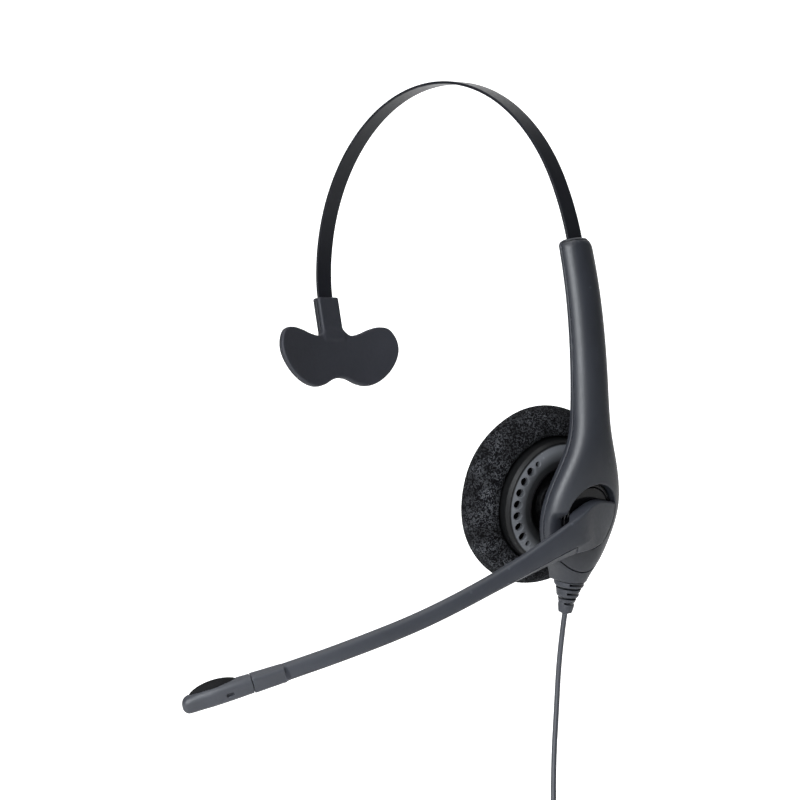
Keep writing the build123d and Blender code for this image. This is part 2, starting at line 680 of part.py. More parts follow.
with BuildPart() as speaker_frame:
    with BuildSketch(Plane.XZ):
        with BuildLine():
            ring_line([(14.6, -1.9), (17.0, -1.9), (17.0, 0.9), (9.4, 1.9), (9.4, 1.1), (15.6, 0.2), (15.6, -1.0), (14.6, -1.0)])
        make_face()
    revolve(axis=Axis.Z)
speaker_frame.part = speaker_frame.part.moved(PC.location)
speaker_frame.part.label = "speaker_frame"
export_step(speaker_frame.part, "parts/speaker_frame.step")

with BuildPart() as speaker_magnet:
    with BuildSketch(Plane.XZ):
        with BuildLine():
            ring_line([(0, 1.1), (9.3, 1.1), (9.3, 3.8), (0, 3.8)])
        make_face()
    revolve(axis=Axis.Z)
speaker_magnet.part = speaker_magnet.part.moved(PC.location)
speaker_magnet.part.label = "speaker_magnet"
export_step(speaker_magnet.part, "parts/speaker_magnet.step")

with BuildPart() as speaker_cone:
    with BuildSketch(Plane.XZ):
        with BuildLine():
            ring_line([(0, 0.2), (3.0, 0.2), (14.4, -1.1), (14.4, -0.8), (3.0, 0.6), (0, 0.6)])
        make_face()
    revolve(axis=Axis.Z)
speaker_cone.part = speaker_cone.part.moved(PC.location)
speaker_cone.part.label = "speaker_cone"
export_step(speaker_cone.part, "parts/speaker_cone.step")

with BuildPart() as ear_cushion:
    with BuildSketch(Plane.XZ):
        with BuildLine():
            ring_line([(0, -6.4), (19.0, -6.4), (23.4, -5.4), (26.8, -3.6), (29.0, -1.2), (30.0, 1.8), (29.5, 4.6), (28.2, 7.0), (25.6, 8.9),
            (22.6, 9.3), (21.4, 8.9), (21.3, 7.4), (25.1, 7.2), (25.1, -3.5), (0, -3.5)])
        make_face()
    revolve(axis=Axis.Z)
ear_cushion.part = ear_cushion.part.moved(PC.location)
ear_cushion.part.label = "ear_cushion"
export_step(ear_cushion.part, "parts/ear_cushion.step")

# ---------------------------------------------------------------- cord
SR_END = PS.from_local_coords((0, 0, 13.3))
CORD_PTS = [(SR_END.X, 0, SR_END.Z), (SR_END.X - 1.23, 0, SR_END.Z - 6.5), (61.9, 0.25, -57.2), (61.0, 0.1, -72.0),
            (61.4, -1.6, -88.0), (64.2, -4.6, -104.5), (65.8, -5.4, -118.0)]
COIL_C = (61.3, 5.4, -118.0)
COIL_IN, COIL_OUT, COIL_W = 9.0, 12.6, 10.8
TAIL_PTS = [(65.8, -6.3, -118.0), (65.2, -6.6, -128.0), (62.6, -4.4, -143.0), (61.6, -2.6, -158.0)]


def corner_radii(pts):
    out = []
    for a, b, c in zip(pts, pts[1:], pts[2:]):
        u, v = Vector(*b) - Vector(*a), Vector(*c) - Vector(*b)
        turn = math.radians(u.get_angle(v))
        out.append(0.45 * min(u.length, v.length) / math.tan(turn / 2))
    return out


def route_length(pts, radii):
    total = sum((Vector(*b) - Vector(*a)).length for a, b in zip(pts, pts[1:]))
    for (a, b, c), r in zip(zip(pts, pts[1:], pts[2:]), radii):
        turn = math.radians((Vector(*b) - Vector(*a)).get_angle(Vector(*c) - Vector(*b)))
        total += r * turn - 2 * r * math.tan(turn / 2)
    return total


cord_r, tail_r = corner_radii(CORD_PTS), corner_radii(TAIL_PTS)
print("cord radii", [round(r, 1) for r in cord_r], "length", round(route_length(CORD_PTS, cord_r), 2))
print("tail radii", [round(r, 1) for r in tail_r], "length", round(route_length(TAIL_PTS, tail_r), 2))

PCOIL = Plane(origin=COIL_C, x_dir=(0, 1, 0), z_dir=(1, 0, 0))
with BuildPart() as cord_coil:
    with BuildSketch(PCOIL.offset(-COIL_W / 2)):
        Circle(COIL_OUT)
        Circle(COIL_IN, mode=Mode.SUBTRACT)
    extrude(amount=COIL_W)
cord_coil.part.label = "cord_coil"
export_step(cord_coil.part, "parts/cord_coil.step")

with BuildPart() as cord:
    with BuildLine() as cord_path:
        FilletPolyline(*CORD_PTS, radius=cord_r)
    with BuildSketch(Plane(origin=CORD_PTS[0], z_dir=(Vector(*CORD_PTS[1]) - Vector(*CORD_PTS[0])).normalized())):
        Circle(CORD_D / 2)
    sweep(path=cord_path.wires()[0])
    print("cord volume", round(cord.part.volume, 2), "expected", round(math.pi * CORD_D ** 2 / 4 * route_length(CORD_PTS, cord_r), 2))
    add(cord_coil.part, mode=Mode.SUBTRACT)
cord.part.label = "cord"
export_step(cord.part, "parts/cord.step")

with BuildPart() as cord_tail:
    with BuildLine() as tail_path:
        FilletPolyline(*TAIL_PTS, radius=tail_r)
    with BuildSketch(Plane(origin=TAIL_PTS[0], z_dir=(Vector(*TAIL_PTS[1]) - Vector(*TAIL_PTS[0])).normalized())):
        Circle(CORD_D / 2)
    sweep(path=tail_path.wires()[0])
    add(cord_coil.part, mode=Mode.SUBTRACT)
cord_tail.part.label = "cord_tail"
export_step(cord_tail.part, "parts/cord_tail.step")

with BuildPart() as cord_tie:
    with BuildSketch(Plane(origin=(COIL_C[0], COIL_C[1], COIL_C[2] - (COIL_IN + COIL_OUT) / 2), x_dir=(1, 0, 0), z_dir=(0, 1, 0))):
        RectangleRounded(COIL_W + 2.2, COIL_OUT - COIL_IN + 2.6, 1.2)
        RectangleRounded(COIL_W + 0.3, COIL_OUT - COIL_IN + 1.0, 0.3, mode=Mode.SUBTRACT)
    extrude(amount=2.5, both=True)
cord_tie.part.label = "cord_tie"
export_step(cord_tie.part, "parts/cord_tie.step")

# ---------------------------------------------------------------- quick-disconnect plug
tail_dir = (Vector(*TAIL_PTS[-1]) - Vector(*TAIL_PTS[-2])).normalized()
PP = Plane(origin=TAIL_PTS[-1], x_dir=(0, 1, 0), z_dir=(tail_dir.X, tail_dir.Y, tail_dir.Z))

with BuildPart() as plug_sleeve:
    with BuildSketch(PP):
        Circle(1.5)
    with BuildSketch(PP.offset(11)):
        Circle(2.5)
    loft()
plug_sleeve.part.label = "plug_sleeve"
export_step(plug_sleeve.part, "parts/plug_sleeve.step")

with BuildPart() as plug_body:
    with BuildSketch(PP.offset(11)):
        RectangleRounded(9.6, 6.6, 2.0)
    extrude(amount=32)
    fillet(plug_body.edges().filter_by(GeomType.LINE, reverse=True).group_by(Axis((0, 0, 0), tuple(PP.z_dir)))[0], 0.8)
    with BuildSketch(PP.offset(31)):
        RectangleRounded(7.6, 4.6, 1.2)
    extrude(amount=14, mode=Mode.SUBTRACT)
    with BuildSketch(Plane(origin=tuple(PP.origin + PP.y_dir * 3.3), x_dir=PP.x_dir, z_dir=PP.y_dir).offset(-0.6)):
        with Locations((0, -24)):
            RectangleRounded(4.3, 13.3, 1.2)
    extrude(amount=3, mode=Mode.SUBTRACT)
plug_body.part.label = "plug_body"
export_step(plug_body.part, "parts/plug_body.step")

with BuildPart() as plug_latch:
    with BuildSketch(Plane(origin=tuple(PP.origin + PP.y_dir * 3.3), x_dir=PP.x_dir, z_dir=PP.y_dir).offset(-0.6)):
        with Locations((0, -24)):
            RectangleRounded(4.0, 13.0, 1.0)
    extrude(amount=1.3)
plug_latch.part.label = "plug_latch"
export_step(plug_latch.part, "parts/plug_latch.step")

with BuildPart() as plug_contacts:
    with BuildSketch(PP.offset(31)):
        with GridLocations(1.7, 2.2, 4, 1):
            Rectangle(0.8, 1.8)
    extrude(amount=8)
plug_contacts.part.label = "plug_contacts"
export_step(plug_contacts.part, "parts/plug_contacts.step")
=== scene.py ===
import math

import bmesh
import bpy
import numpy as np
from mathutils import Matrix, Vector


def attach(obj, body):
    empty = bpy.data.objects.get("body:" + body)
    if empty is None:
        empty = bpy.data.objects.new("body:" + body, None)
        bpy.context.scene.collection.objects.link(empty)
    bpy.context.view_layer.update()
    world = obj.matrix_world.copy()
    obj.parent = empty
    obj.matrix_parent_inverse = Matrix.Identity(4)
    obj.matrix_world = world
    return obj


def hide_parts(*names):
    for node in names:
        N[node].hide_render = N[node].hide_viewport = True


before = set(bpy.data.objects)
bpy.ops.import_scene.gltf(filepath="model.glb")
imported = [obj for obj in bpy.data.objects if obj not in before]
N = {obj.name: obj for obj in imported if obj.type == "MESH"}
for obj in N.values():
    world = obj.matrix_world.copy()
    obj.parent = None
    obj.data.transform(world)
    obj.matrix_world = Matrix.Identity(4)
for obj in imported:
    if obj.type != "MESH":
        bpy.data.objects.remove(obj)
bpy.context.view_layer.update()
MM = 0.001
rng = np.random.default_rng(7)


# ------------------------------------------------------------------ geometry helpers (millimetres)
def unit(v):
    v = np.asarray(v, float)
    return v / np.linalg.norm(v)


class Fr:
    """A plane frame: origin, x direction, normal."""

    def __init__(self, o, x, z):
        z = unit(z)
        x = np.array(x, float)
        x = unit(x - z * (x @ z))
        self.o, self.x, self.z = np.array(o, float), x, z
        self.y = np.cross(z, x)
        self.R = np.stack([x, self.y, z], 1)

    def w(self, p):
        return self.o + np.asarray(p, float) @ self.R.T

    def l(self, p):
        return (np.asarray(p, float) - self.o) @ self.R


TILT, YAW = math.radians(10.1), math.radians(-5.64)
NB = (math.cos(TILT), 0.0, -math.sin(TILT))
NC = (math.cos(TILT) * math.cos(YAW), math.cos(TILT) * math.sin(YAW), -math.sin(TILT))
PB = Fr((78.0, 0.0, -6.5), (0, 1, 0), NB)
PC = Fr((54.0, -3.39, 0.0), (-math.sin(YAW), math.cos(YAW), 0), NC)
SR_DIR = (-0.186, 0, -0.9825)
PS = Fr((67.55, 0, -25.9), (0, 1, 0), SR_DIR)
END_DIR = unit((-0.2526, 0, 0.9676))
END_O = np.array((70.6, 0, 83.6))


def rint(a, b, r):
    """Rounded intersection of two distances."""
    ua, ub = np.maximum(a + r, 0), np.maximum(b + r, 0)
    return np.minimum(-r, np.maximum(a, b)) + np.sqrt(ua * ua + ub * ub)


def runi(a, b, r):
    return -rint(-a, -b, r)


def rdiff(a, b, r):
    return rint(a, -b, r)


def sstep(x, a, b):
    t = np.clip((x - a) / (b - a), 0, 1)
    return t * t * (3 - 2 * t)


def curve1d(xs, ys, smooth=0.0, step=0.05):
    """Smooth table through points: natural cubic, then a Gaussian of that width."""
    xs, ys = np.asarray(xs, float), np.asarray(ys, float)
    o = np.argsort(xs)
    xs, ys = xs[o], ys[o]
    n = len(xs)
    h = np.diff(xs)
    A = np.zeros((n, n))
    r = np.zeros(n)
    A[0, 0] = A[-1, -1] = 1
    for i in range(1, n - 1):
        A[i, i - 1], A[i, i], A[i, i + 1] = h[i - 1], 2 * (h[i - 1] + h[i]), h[i]
        r[i] = 6 * ((ys[i + 1] - ys[i]) / h[i] - (ys[i] - ys[i - 1]) / h[i - 1])
    m = np.linalg.solve(A, r)
    g = np.arange(xs[0], xs[-1] + step, step)
    i = np.clip(np.searchsorted(xs, g) - 1, 0, n - 2)
    t0, t1 = g - xs[i], xs[i + 1] - g
    v = (m[i] * t1 ** 3 + m[i + 1] * t0 ** 3) / (6 * h[i]) + (ys[i] / h[i] - m[i] * h[i] / 6) * t1 + (ys[i + 1] / h[i] - m[i + 1] * h[i] / 6) * t0
    if smooth > 0:
        k = int(3 * smooth / step)
        w = np.exp(-0.5 * (np.arange(-k, k + 1) * step / smooth) ** 2)
        w /= w.sum()
        s0, s1 = v[1] - v[0], v[-1] - v[-2]
        pad = np.concatenate([v[0] + s0 * np.arange(-k, 0), v, v[-1] + s1 * np.arange(1, k + 1)])
        v = np.convolve(pad, w, "valid")
    return lambda q: np.interp(q, g, v)


def poly_sdf(q, P):
    """Signed distance to a closed polygon, negative inside."""
    d = np.full(len(q), 1e9)
    s = np.ones(len(q))
    n = len(P)
    for i in range(n):
        a, b = P[i], P[(i + 1) % n]
        e = b - a
        w = q - a
        t = np.clip((w @ e) / max(e @ e, 1e-12), 0, 1)
        r = w - t[:, None] * e
        d = np.minimum(d, (r * r).sum(1))
        c1, c2 = q[:, 1] >= a[1], q[:, 1] < b[1]
        c3 = e[0] * w[:, 1] > e[1] * w[:, 0]
        s = np.where((c1 & c2 & c3) | (~c1 & ~c2 & ~c3), -s, s)
    return s * np.sqrt(d)


def closed_curve(pts, n=160):
    """Points along a smooth closed curve through pts (Catmull-Rom, centripetal)."""
    P = np.asarray(pts, float)
    m = len(P)
    out = []
    for i in range(m):
        p0, p1, p2, p3 = P[i - 1], P[i], P[(i + 1) % m], P[(i + 2) % m]
        t = [0]
        for a, b in ((p0, p1), (p1, p2), (p2, p3)):
            t.append(t[-1] + max(np.linalg.norm(b - a), 1e-6) ** 0.5)
        k = max(2, int(round(n * np.linalg.norm(p2 - p1) / 1.0 / (np.linalg.norm(np.diff(np.vstack([P, P[:1]]), axis=0), axis=1).sum()))))
        u = np.linspace(t[1], t[2], k, endpoint=False)[:, None]
        A1 = (t[1] - u) / (t[1] - t[0]) * p0 + (u - t[0]) / (t[1] - t[0]) * p1
        A2 = (t[2] - u) / (t[2] - t[1]) * p1 + (u - t[1]) / (t[2] - t[1]) * p2
        A3 = (t[3] - u) / (t[3] - t[2]) * p2 + (u - t[2]) / (t[3] - t[2]) * p3
        B1 = (t[2] - u) / (t[2] - t[0]) * A1 + (u - t[0]) / (t[2] - t[0]) * A2
        B2 = (t[3] - u) / (t[3] - t[1]) * A2 + (u - t[1]) / (t[3] - t[1]) * A3
        out.append((t[2] - u) / (t[2] - t[1]) * B1 + (u - t[1]) / (t[2] - t[1]) * B2)
    return np.vstack(out)


def gradient(F, p, h=0.03):
    g = np.empty_like(p)
    for k in range(3):
        e = np.zeros(3)
        e[k] = h
        g[:, k] = (F(p + e) - F(p - e)) / (2 * h)
    return g


def make_object(name, verts_mm, faces, normals=None, smooth=True):
    me = bpy.data.meshes.new(name)
    me.from_pydata((np.asarray(verts_mm) * MM).tolist(), [], [list(map(int, f)) for f in faces])
    me.update()
    if smooth:
        me.polygons.foreach_set("use_smooth", [True] * len(me.polygons))
    if normals is not None:
        me.normals_split_custom_set_from_vertices(np.asarray(normals).tolist())
    ob = bpy.data.objects.new(name, me)
    bpy.context.scene.collection.objects.link(ob)
    return ob


def iso(name, F, lo, hi, cell, fr=None, relax=3):
    """Closed mesh of F = 0, F in millimetres and negative inside. The grid lies in fr."""
    lo, hi = np.array(lo, float), np.array(hi, float)
    G = (lambda q: F(fr.w(q))) if fr is not None else F
    K = 4
    nc = np.ceil((hi - lo) / (cell * K)).astype(int) + 1
    ax = [lo[i] + np.arange(nc[i]) * cell * K for i in range(3)]
    X, Y, Z = np.meshgrid(*ax, indexing="ij")
    C = G(np.stack([X.ravel(), Y.ravel(), Z.ravel()], 1)).reshape(nc)
    nf = (nc - 1) * K + 1
    idx = [np.clip(np.round(np.arange(nf[i]) / K).astype(int), 0, nc[i] - 1) for i in range(3)]
    V = C[idx[0]][:, idx[1]][:, :, idx[2]].astype(np.float32)
    near = np.argwhere(np.abs(V) < cell * K * 1.5)
    q = lo + near * cell
    V[near[:, 0], near[:, 1], near[:, 2]] = G(q)
    V[V == 0] = 1e-6
    S = V < 0
    cnt = np.zeros(nf - 1, np.int8)
    for a in (0, 1):
        for b in (0, 1):
            for c in (0, 1):
                cnt += S[a:nf[0] - 1 + a, b:nf[1] - 1 + b, c:nf[2] - 1 + c]
    act = (cnt > 0) & (cnt < 8)
    ci = np.argwhere(act)
    ids = -np.ones(act.shape, np.int64)
    ids[act] = np.arange(len(ci))
    acc, num = np.zeros((len(ci), 3)), np.zeros(len(ci))
    cs = [(a, b, c) for a in (0, 1) for b in (0, 1) for c in (0, 1)]
    for a in cs:
        for k in range(3):
            if a[k] == 1:
                continue
            b = list(a)
            b[k] = 1
            va = V[ci[:, 0] + a[0], ci[:, 1] + a[1], ci[:, 2] + a[2]]
            vb = V[ci[:, 0] + b[0], ci[:, 1] + b[1], ci[:, 2] + b[2]]
            cr = (va < 0) != (vb < 0)
            t = np.where(cr, va / np.where(cr, va - vb, 1), 0)
            pos = np.array(a, float) + (np.array(b) - np.array(a)) * t[:, None]
            acc[cr] += pos[cr]
            num[cr] += 1
    p = lo + (ci + acc / num[:, None]) * cell
    quads = []
    for k in range(3):
        o = [i for i in range(3) if i != k]
        sl0, sl1 = [slice(None)] * 3, [slice(None)] * 3
        sl0[k], sl1[k] = slice(0, -1), slice(1, None)
        for i in o:
            sl0[i] = sl1[i] = slice(1, -1)
        A, B = S[tuple(sl0)], S[tuple(sl1)]
        e = np.argwhere(A != B)
        if not len(e):
            continue
        inside = A[e[:, 0], e[:, 1], e[:, 2]]
        for i in o:
            e[:, i] += 1
        u, v = o
        f = []
        for du, dv in ((1, 1), (0, 1), (0, 0), (1, 0)):
            c = e.copy()
            c[:, u] -= du
            c[:, v] -= dv
            f.append(ids[c[:, 0], c[:, 1], c[:, 2]])
        f = np.stack(f, 1)
        flip = inside if k != 1 else ~inside
        f[~flip] = f[~flip][:, ::-1]
        quads.append(f)
    quads = np.vstack(quads)
    quads = quads[(quads >= 0).all(1)]
    e = np.vstack([quads[:, [0, 1]], quads[:, [1, 2]], quads[:, [2, 3]], quads[:, [3, 0]]])

    def project(p, times):
        for _ in range(times):
            f = G(p)
            g = gradient(G, p)
            s = f / np.maximum((g * g).sum(1), 0.05)
            step = g * s[:, None]
            ln = np.linalg.norm(step, axis=1)
            step *= np.minimum(1, 0.6 * cell / np.maximum(ln, 1e-9))[:, None]
            p = p - step
        return p

    p = project(p, 2)
    deg = np.bincount(e.ravel(), minlength=len(p)).astype(float)
    for _ in range(relax):
        m = np.zeros_like(p)
        for k in range(3):
            m[:, k] = np.bincount(e[:, 0], p[e[:, 1], k], len(p)) + np.bincount(e[:, 1], p[e[:, 0], k], len(p))
        p = p + 0.5 * (m / deg[:, None] - p)
        p = project(p, 1)
    p = project(p, 2)
    g = gradient(G, p)
    nrm = g / np.maximum(np.linalg.norm(g, axis=1), 1e-9)[:, None]
    if fr is not None:
        p, nrm = fr.w(p), nrm @ fr.R.T
    # outward faces
    c = p[quads]
    fn = np.cross(c[:, 2] - c[:, 0], c[:, 3] - c[:, 1])
    bad = (fn * nrm[quads].sum(1)).sum(1) < 0
    quads[bad] = quads[bad][:, ::-1]
    return make_object(name, p, quads, nrm)


def lathe(name, prof, fr, seg=192, closed=True):
    """Turned piece from (radius, height) points round fr's normal."""
    prof = np.asarray(prof, float)
    th = np.arange(seg) * 2 * math.pi / seg
    vs, fs = [], []
    n = len(prof)
    for r, h in prof:
        vs.append(fr.w(np.stack([r * np.cos(th), r * np.sin(th), np.full(seg, h)], 1)))
    vs = np.vstack(vs)
    for i in range(n if closed else n - 1):
        j = (i + 1) % n
        for k in range(seg):
            k2 = (k + 1) % seg
            fs.append((i * seg + k, i * seg + k2, j * seg + k2, j * seg + k))
    ob = make_object(name, vs, fs)
    tidy(ob)
    return ob


def tidy(ob, dist=1e-6):
    bm = bmesh.new()
    bm.from_mesh(ob.data)
    bmesh.ops.remove_doubles(bm, verts=bm.verts, dist=dist)
    bmesh.ops.dissolve_degenerate(bm, edges=bm.edges, dist=dist)
    bmesh.ops.recalc_face_normals(bm, faces=bm.faces)
    bm.to_mesh(ob.data)
    bm.free()
    ob.data.polygons.foreach_set("use_smooth", [True] * len(ob.data.polygons))
    ob.data.update()


def tube_loft(name, rings, cap=True):
    """Skin between rings of equal point count."""
    R = np.asarray(rings, float)
    k, m, _ = R.shape
    vs = R.reshape(-1, 3)
    fs = []
    for i in range(k - 1):
        for j in range(m):
            j2 = (j + 1) % m
            fs.append((i * m + j, i * m + j2, (i + 1) * m + j2, (i + 1) * m + j))
    if cap:
        vs = np.vstack([vs, R[0].mean(0), R[-1].mean(0)])
        a, b = k * m, k * m + 1
        for j in range(m):
            j2 = (j + 1) % m
            fs.append((a, j2, j))
            fs.append((b, (k - 1) * m + j, (k - 1) * m + j2))
    ob = make_object(name, vs, fs)
    tidy(ob)
    return ob


# ------------------------------------------------------------------ materials
def principled(name, color, rough, **kw):
    m = bpy.data.materials.new(name)
    m.use_nodes = True
    nt = m.node_tree
    b = nt.nodes["Principled BSDF"]
    b.inputs["Base Color"].default_value = (*color, 1)
    b.inputs["Roughness"].default_value = rough
    for k, v in kw.items():
        b.inputs[k.replace("_", " ")].default_value = v
    return m, nt, b


def link(nt, a, b):
    nt.links.new(a, b)


def node(nt, kind, **kw):
    n = nt.nodes.new(kind)
    for k, v in kw.items():
        if k in n.inputs:
            n.inputs[k].default_value = v
        else:
            setattr(n, k, v)
    return n


def tex(nt, kind, scale, detail=2.0, rough=0.5):
    t = nt.nodes.new(kind)
    t.inputs["Scale"].default_value = scale
    if "Detail" in t.inputs:
        t.inputs["Detail"].default_value = detail
    if "Roughness" in t.inputs:
        t.inputs["Roughness"].default_value = rough
    co = nt.nodes.new("ShaderNodeTexCoord")
    link(nt, co.outputs["Object"], t.inputs["Vector"])
    return t


def ramp(nt, src, stops):
    r = nt.nodes.new("ShaderNodeValToRGB")
    r.color_ramp.elements[1].position = stops[-1][0]
    r.color_ramp.elements[0].position = stops[0][0]
    for p, c in stops[1:-1]:
        r.color_ramp.elements.new(p)
    for e, (p, c) in zip(r.color_ramp.elements, stops):
        e.color = (*c, 1) if not isinstance(c, (int, float)) else (c, c, c, 1)
    link(nt, src, r.inputs["Fac"])
    return r


def plastic(name, color, rough=0.45, grain=5200.0, grain_d=0.000012, vary=0.10, wear_and_edge_sheen=0.35, spec=0.5, coat=0.0, coat_rough=0.2):
    """Moulded plastic: spark-eroded grain, slow tone and gloss variation, edges a little brighter by pointiness as
    rubbed wear; where wear_and_edge_sheen is set high (the band) this is a painted edge highlight.
    """
    m, nt, b = principled(name, color, rough)
    b.inputs["Specular IOR Level"].default_value = spec
    b.inputs["Coat Weight"].default_value = coat
    b.inputs["Coat Roughness"].default_value = coat_rough
    slow = tex(nt, "ShaderNodeTexNoise", 55.0, 3.0, 0.55)
    mid = tex(nt, "ShaderNodeTexNoise", 900.0, 4.0, 0.6)
    c = np.array(color)
    tone = ramp(nt, slow.outputs["Fac"], [(0.3, tuple(c * (1 - vary))), (0.7, tuple(c * (1 + vary)))])
    geo = nt.nodes.new("ShaderNodeNewGeometry")
    # edge brightening by pointiness: rubbed wear, and a painted edge highlight where the gain is high
    edge = ramp(nt, geo.outputs["Pointiness"], [(0.515, 0.0), (0.60, 1.0)])
    gain = node(nt, "ShaderNodeMath", operation="MULTIPLY")
    gain.inputs[1].default_value = wear_and_edge_sheen
    link(nt, edge.outputs["Color"], gain.inputs[0])
    mix = nt.nodes.new("ShaderNodeMix")
    mix.data_type = "RGBA"
    link(nt, gain.outputs[0], mix.inputs[0])
    link(nt, tone.outputs["Color"], mix.inputs[6])
    mix.inputs[7].default_value = (*(np.minimum(c * 2.2 + 0.02, 1)), 1)
    link(nt, mix.outputs[2], b.inputs["Base Color"])
    rr = node(nt, "ShaderNodeMapRange")
    rr.inputs["From Min"].default_value, rr.inputs["From Max"].default_value = 0.3, 0.7
    rr.inputs["To Min"].default_value, rr.inputs["To Max"].default_value = rough - 0.05, rough + 0.06
    link(nt, mid.outputs["Fac"], rr.inputs["Value"])
    link(nt, rr.outputs["Result"], b.inputs["Roughness"])
    fine = tex(nt, "ShaderNodeTexNoise", grain, 2.5, 0.6)
    bump = nt.nodes.new("ShaderNodeBump")
    bump.inputs["Strength"].default_value = 1.0
    bump.inputs["Distance"].default_value = grain_d
    link(nt, fine.outputs["Fac"], bump.inputs["Height"])
    link(nt, bump.outputs["Normal"], b.inputs["Normal"])
    return m


def metal(name, color, rough=0.3):
    m, nt, b = principled(name, color, rough, Metallic=1.0)
    n1 = tex(nt, "ShaderNodeTexNoise", 1500.0, 5.0, 0.6)
    rr = node(nt, "ShaderNodeMapRange")
    rr.inputs["To Min"].default_value, rr.inputs["To Max"].default_value = rough - 0.08, rough + 0.12
    link(nt, n1.outputs["Fac"], rr.inputs["Value"])
    link(nt, rr.outputs["Result"], b.inputs["Roughness"])
    bump = nt.nodes.new("ShaderNodeBump")
    bump.inputs["Distance"].default_value = 0.000008
    link(nt, n1.outputs["Fac"], bump.inputs["Height"])
    link(nt, bump.outputs["Normal"], b.inputs["Normal"])
    return m


def foam_mat(name):
    """Open-cell foam: dark cells, and bright specks painted into the base colour as highlights on struts that catch the
    light.
    """
    m, nt, b = principled(name, (0.012, 0.0125, 0.014), 0.9)
    b.inputs["Specular IOR Level"].default_value = 0.06
    glint_cells = tex(nt, "ShaderNodeTexVoronoi", 2300.0)
    sep = nt.nodes.new("ShaderNodeSeparateColor")
    link(nt, glint_cells.outputs["Color"], sep.inputs["Color"])
    # painted highlights: the brightest cells stand in for light caught on the foam's struts
    grey = ramp(nt, sep.outputs["Red"], [(0.0, (0.0007, 0.0007, 0.0008)), (0.55, (0.0012, 0.0012, 0.0015)), (0.76, (0.0030, 0.0033, 0.0046)),
                                         (0.90, (0.0075, 0.0085, 0.0120)), (0.965, (0.018, 0.020, 0.026)), (1.0, (0.060, 0.062, 0.067))])
    patch = tex(nt, "ShaderNodeTexNoise", 160.0, 4.0, 0.65)
    pr = ramp(nt, patch.outputs["Fac"], [(0.32, 0.14), (0.52, 0.42), (0.70, 0.90)])
    mix = nt.nodes.new("ShaderNodeMix")
    mix.data_type = "RGBA"
    mix.blend_type = "MULTIPLY"
    mix.inputs[0].default_value = 1.0
    link(nt, grey.outputs["Color"], mix.inputs[6])
    link(nt, pr.outputs["Color"], mix.inputs[7])
    link(nt, mix.outputs[2], b.inputs["Base Color"])
    cells = tex(nt, "ShaderNodeTexVoronoi", 1500.0)
    bump = nt.nodes.new("ShaderNodeBump")
    bump.inputs["Strength"].default_value = 1.0
    bump.inputs["Distance"].default_value = 0.00018
    bump.invert = True
    link(nt, cells.outputs["Distance"], bump.inputs["Height"])
    link(nt, bump.outputs["Normal"], b.inputs["Normal"])
    return m


def mesh_cloth(name, color):
    """Fine acoustic mesh."""
    m, nt, b = principled(name, color, 0.75)
    b.inputs["Specular IOR Level"].default_value = 0.15
    w1 = tex(nt, "ShaderNodeTexVoronoi", 3300.0)
    tone = ramp(nt, w1.outputs["Distance"], [(0.1, tuple(np.array(color) * 2.4)), (0.5, tuple(np.array(color) * 0.5))])
    link(nt, tone.outputs["Color"], b.inputs["Base Color"])
    bump = nt.nodes.new("ShaderNodeBump")
    bump.inputs["Distance"].default_value = 0.00008
    link(nt, w1.outputs["Distance"], bump.inputs["Height"])
    link(nt, bump.outputs["Normal"], b.inputs["Normal"])
    return m


M_SHELL = plastic("arm plastic", (0.0112, 0.0125, 0.0165), 0.43, spec=0.42, wear_and_edge_sheen=0.3)
M_BOOM = plastic("boom plastic", (0.0200, 0.0218, 0.0275), 0.47, spec=0.42, wear_and_edge_sheen=0.3)
M_ROTOR = plastic("rotor plastic", (0.0015, 0.0015, 0.002), 0.14, grain_d=0.000002, wear_and_edge_sheen=0.05, spec=0.25)
# wear_and_edge_sheen=1.0 on the band paints a highlight along its rounded edges, on top of rubbed coating
M_BAND = plastic("band coating", (0.0060, 0.0064, 0.0085), 0.36, grain_d=0.000005, wear_and_edge_sheen=1.0, spec=0.16)
M_PAD = plastic("temple rubber", (0.0150, 0.0158, 0.0205), 0.58, grain=7000, wear_and_edge_sheen=0.35, spec=0.3)
M_PADBACK = plastic("temple back", (0.0095, 0.0100, 0.0130), 0.5, wear_and_edge_sheen=0.2, spec=0.3)
M_DISH = plastic("dish plastic", (0.080, 0.084, 0.092), 0.45, wear_and_edge_sheen=0.15, spec=0.18)
M_RELIEF = plastic("relief rubber", (0.0165, 0.0180, 0.0235), 0.46, grain=6500, wear_and_edge_sheen=0.3, spec=0.4)
M_CORD = plastic("cord jacket", (0.024, 0.026, 0.032), 0.46, grain=3500, grain_d=0.00001, wear_and_edge_sheen=0.0, spec=0.4)
M_TIE = mesh_cloth("tie strap", (0.016, 0.016, 0.018))
M_GRILLE = mesh_cloth("mic mesh", (0.0035, 0.0036, 0.0045))
M_FELT = mesh_cloth("vent felt", (0.003, 0.003, 0.003))
M_FOAM = foam_mat("ear foam")
M_STEEL = metal("screw steel", (0.45, 0.46, 0.48))
M_SPRING = metal("spring steel", (0.5, 0.5, 0.48), 0.25)
M_BRASS = metal("contact plating", (0.75, 0.56, 0.24), 0.22)
M_ACETAL = plastic("acetal", (0.03, 0.03, 0.032), 0.4, wear_and_edge_sheen=0.0)
M_BOARD = plastic("board mask", (0.02, 0.10, 0.04), 0.35, wear_and_edge_sheen=0.0)
M_CONE = plastic("cone film", (0.12, 0.12, 0.13), 0.3, wear_and_edge_sheen=0.0)
M_HOUSE = plastic("mic plastic", (0.0200, 0.0218, 0.0275), 0.47, spec=0.42, wear_and_edge_sheen=0.4)


def finish_piece(ob, body, mat, slot_name, *nodes_):
    ob.data.materials.clear()
    ob.data.materials.append(mat)
    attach(ob, body)
    if nodes_:
        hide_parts(*nodes_)
    return ob


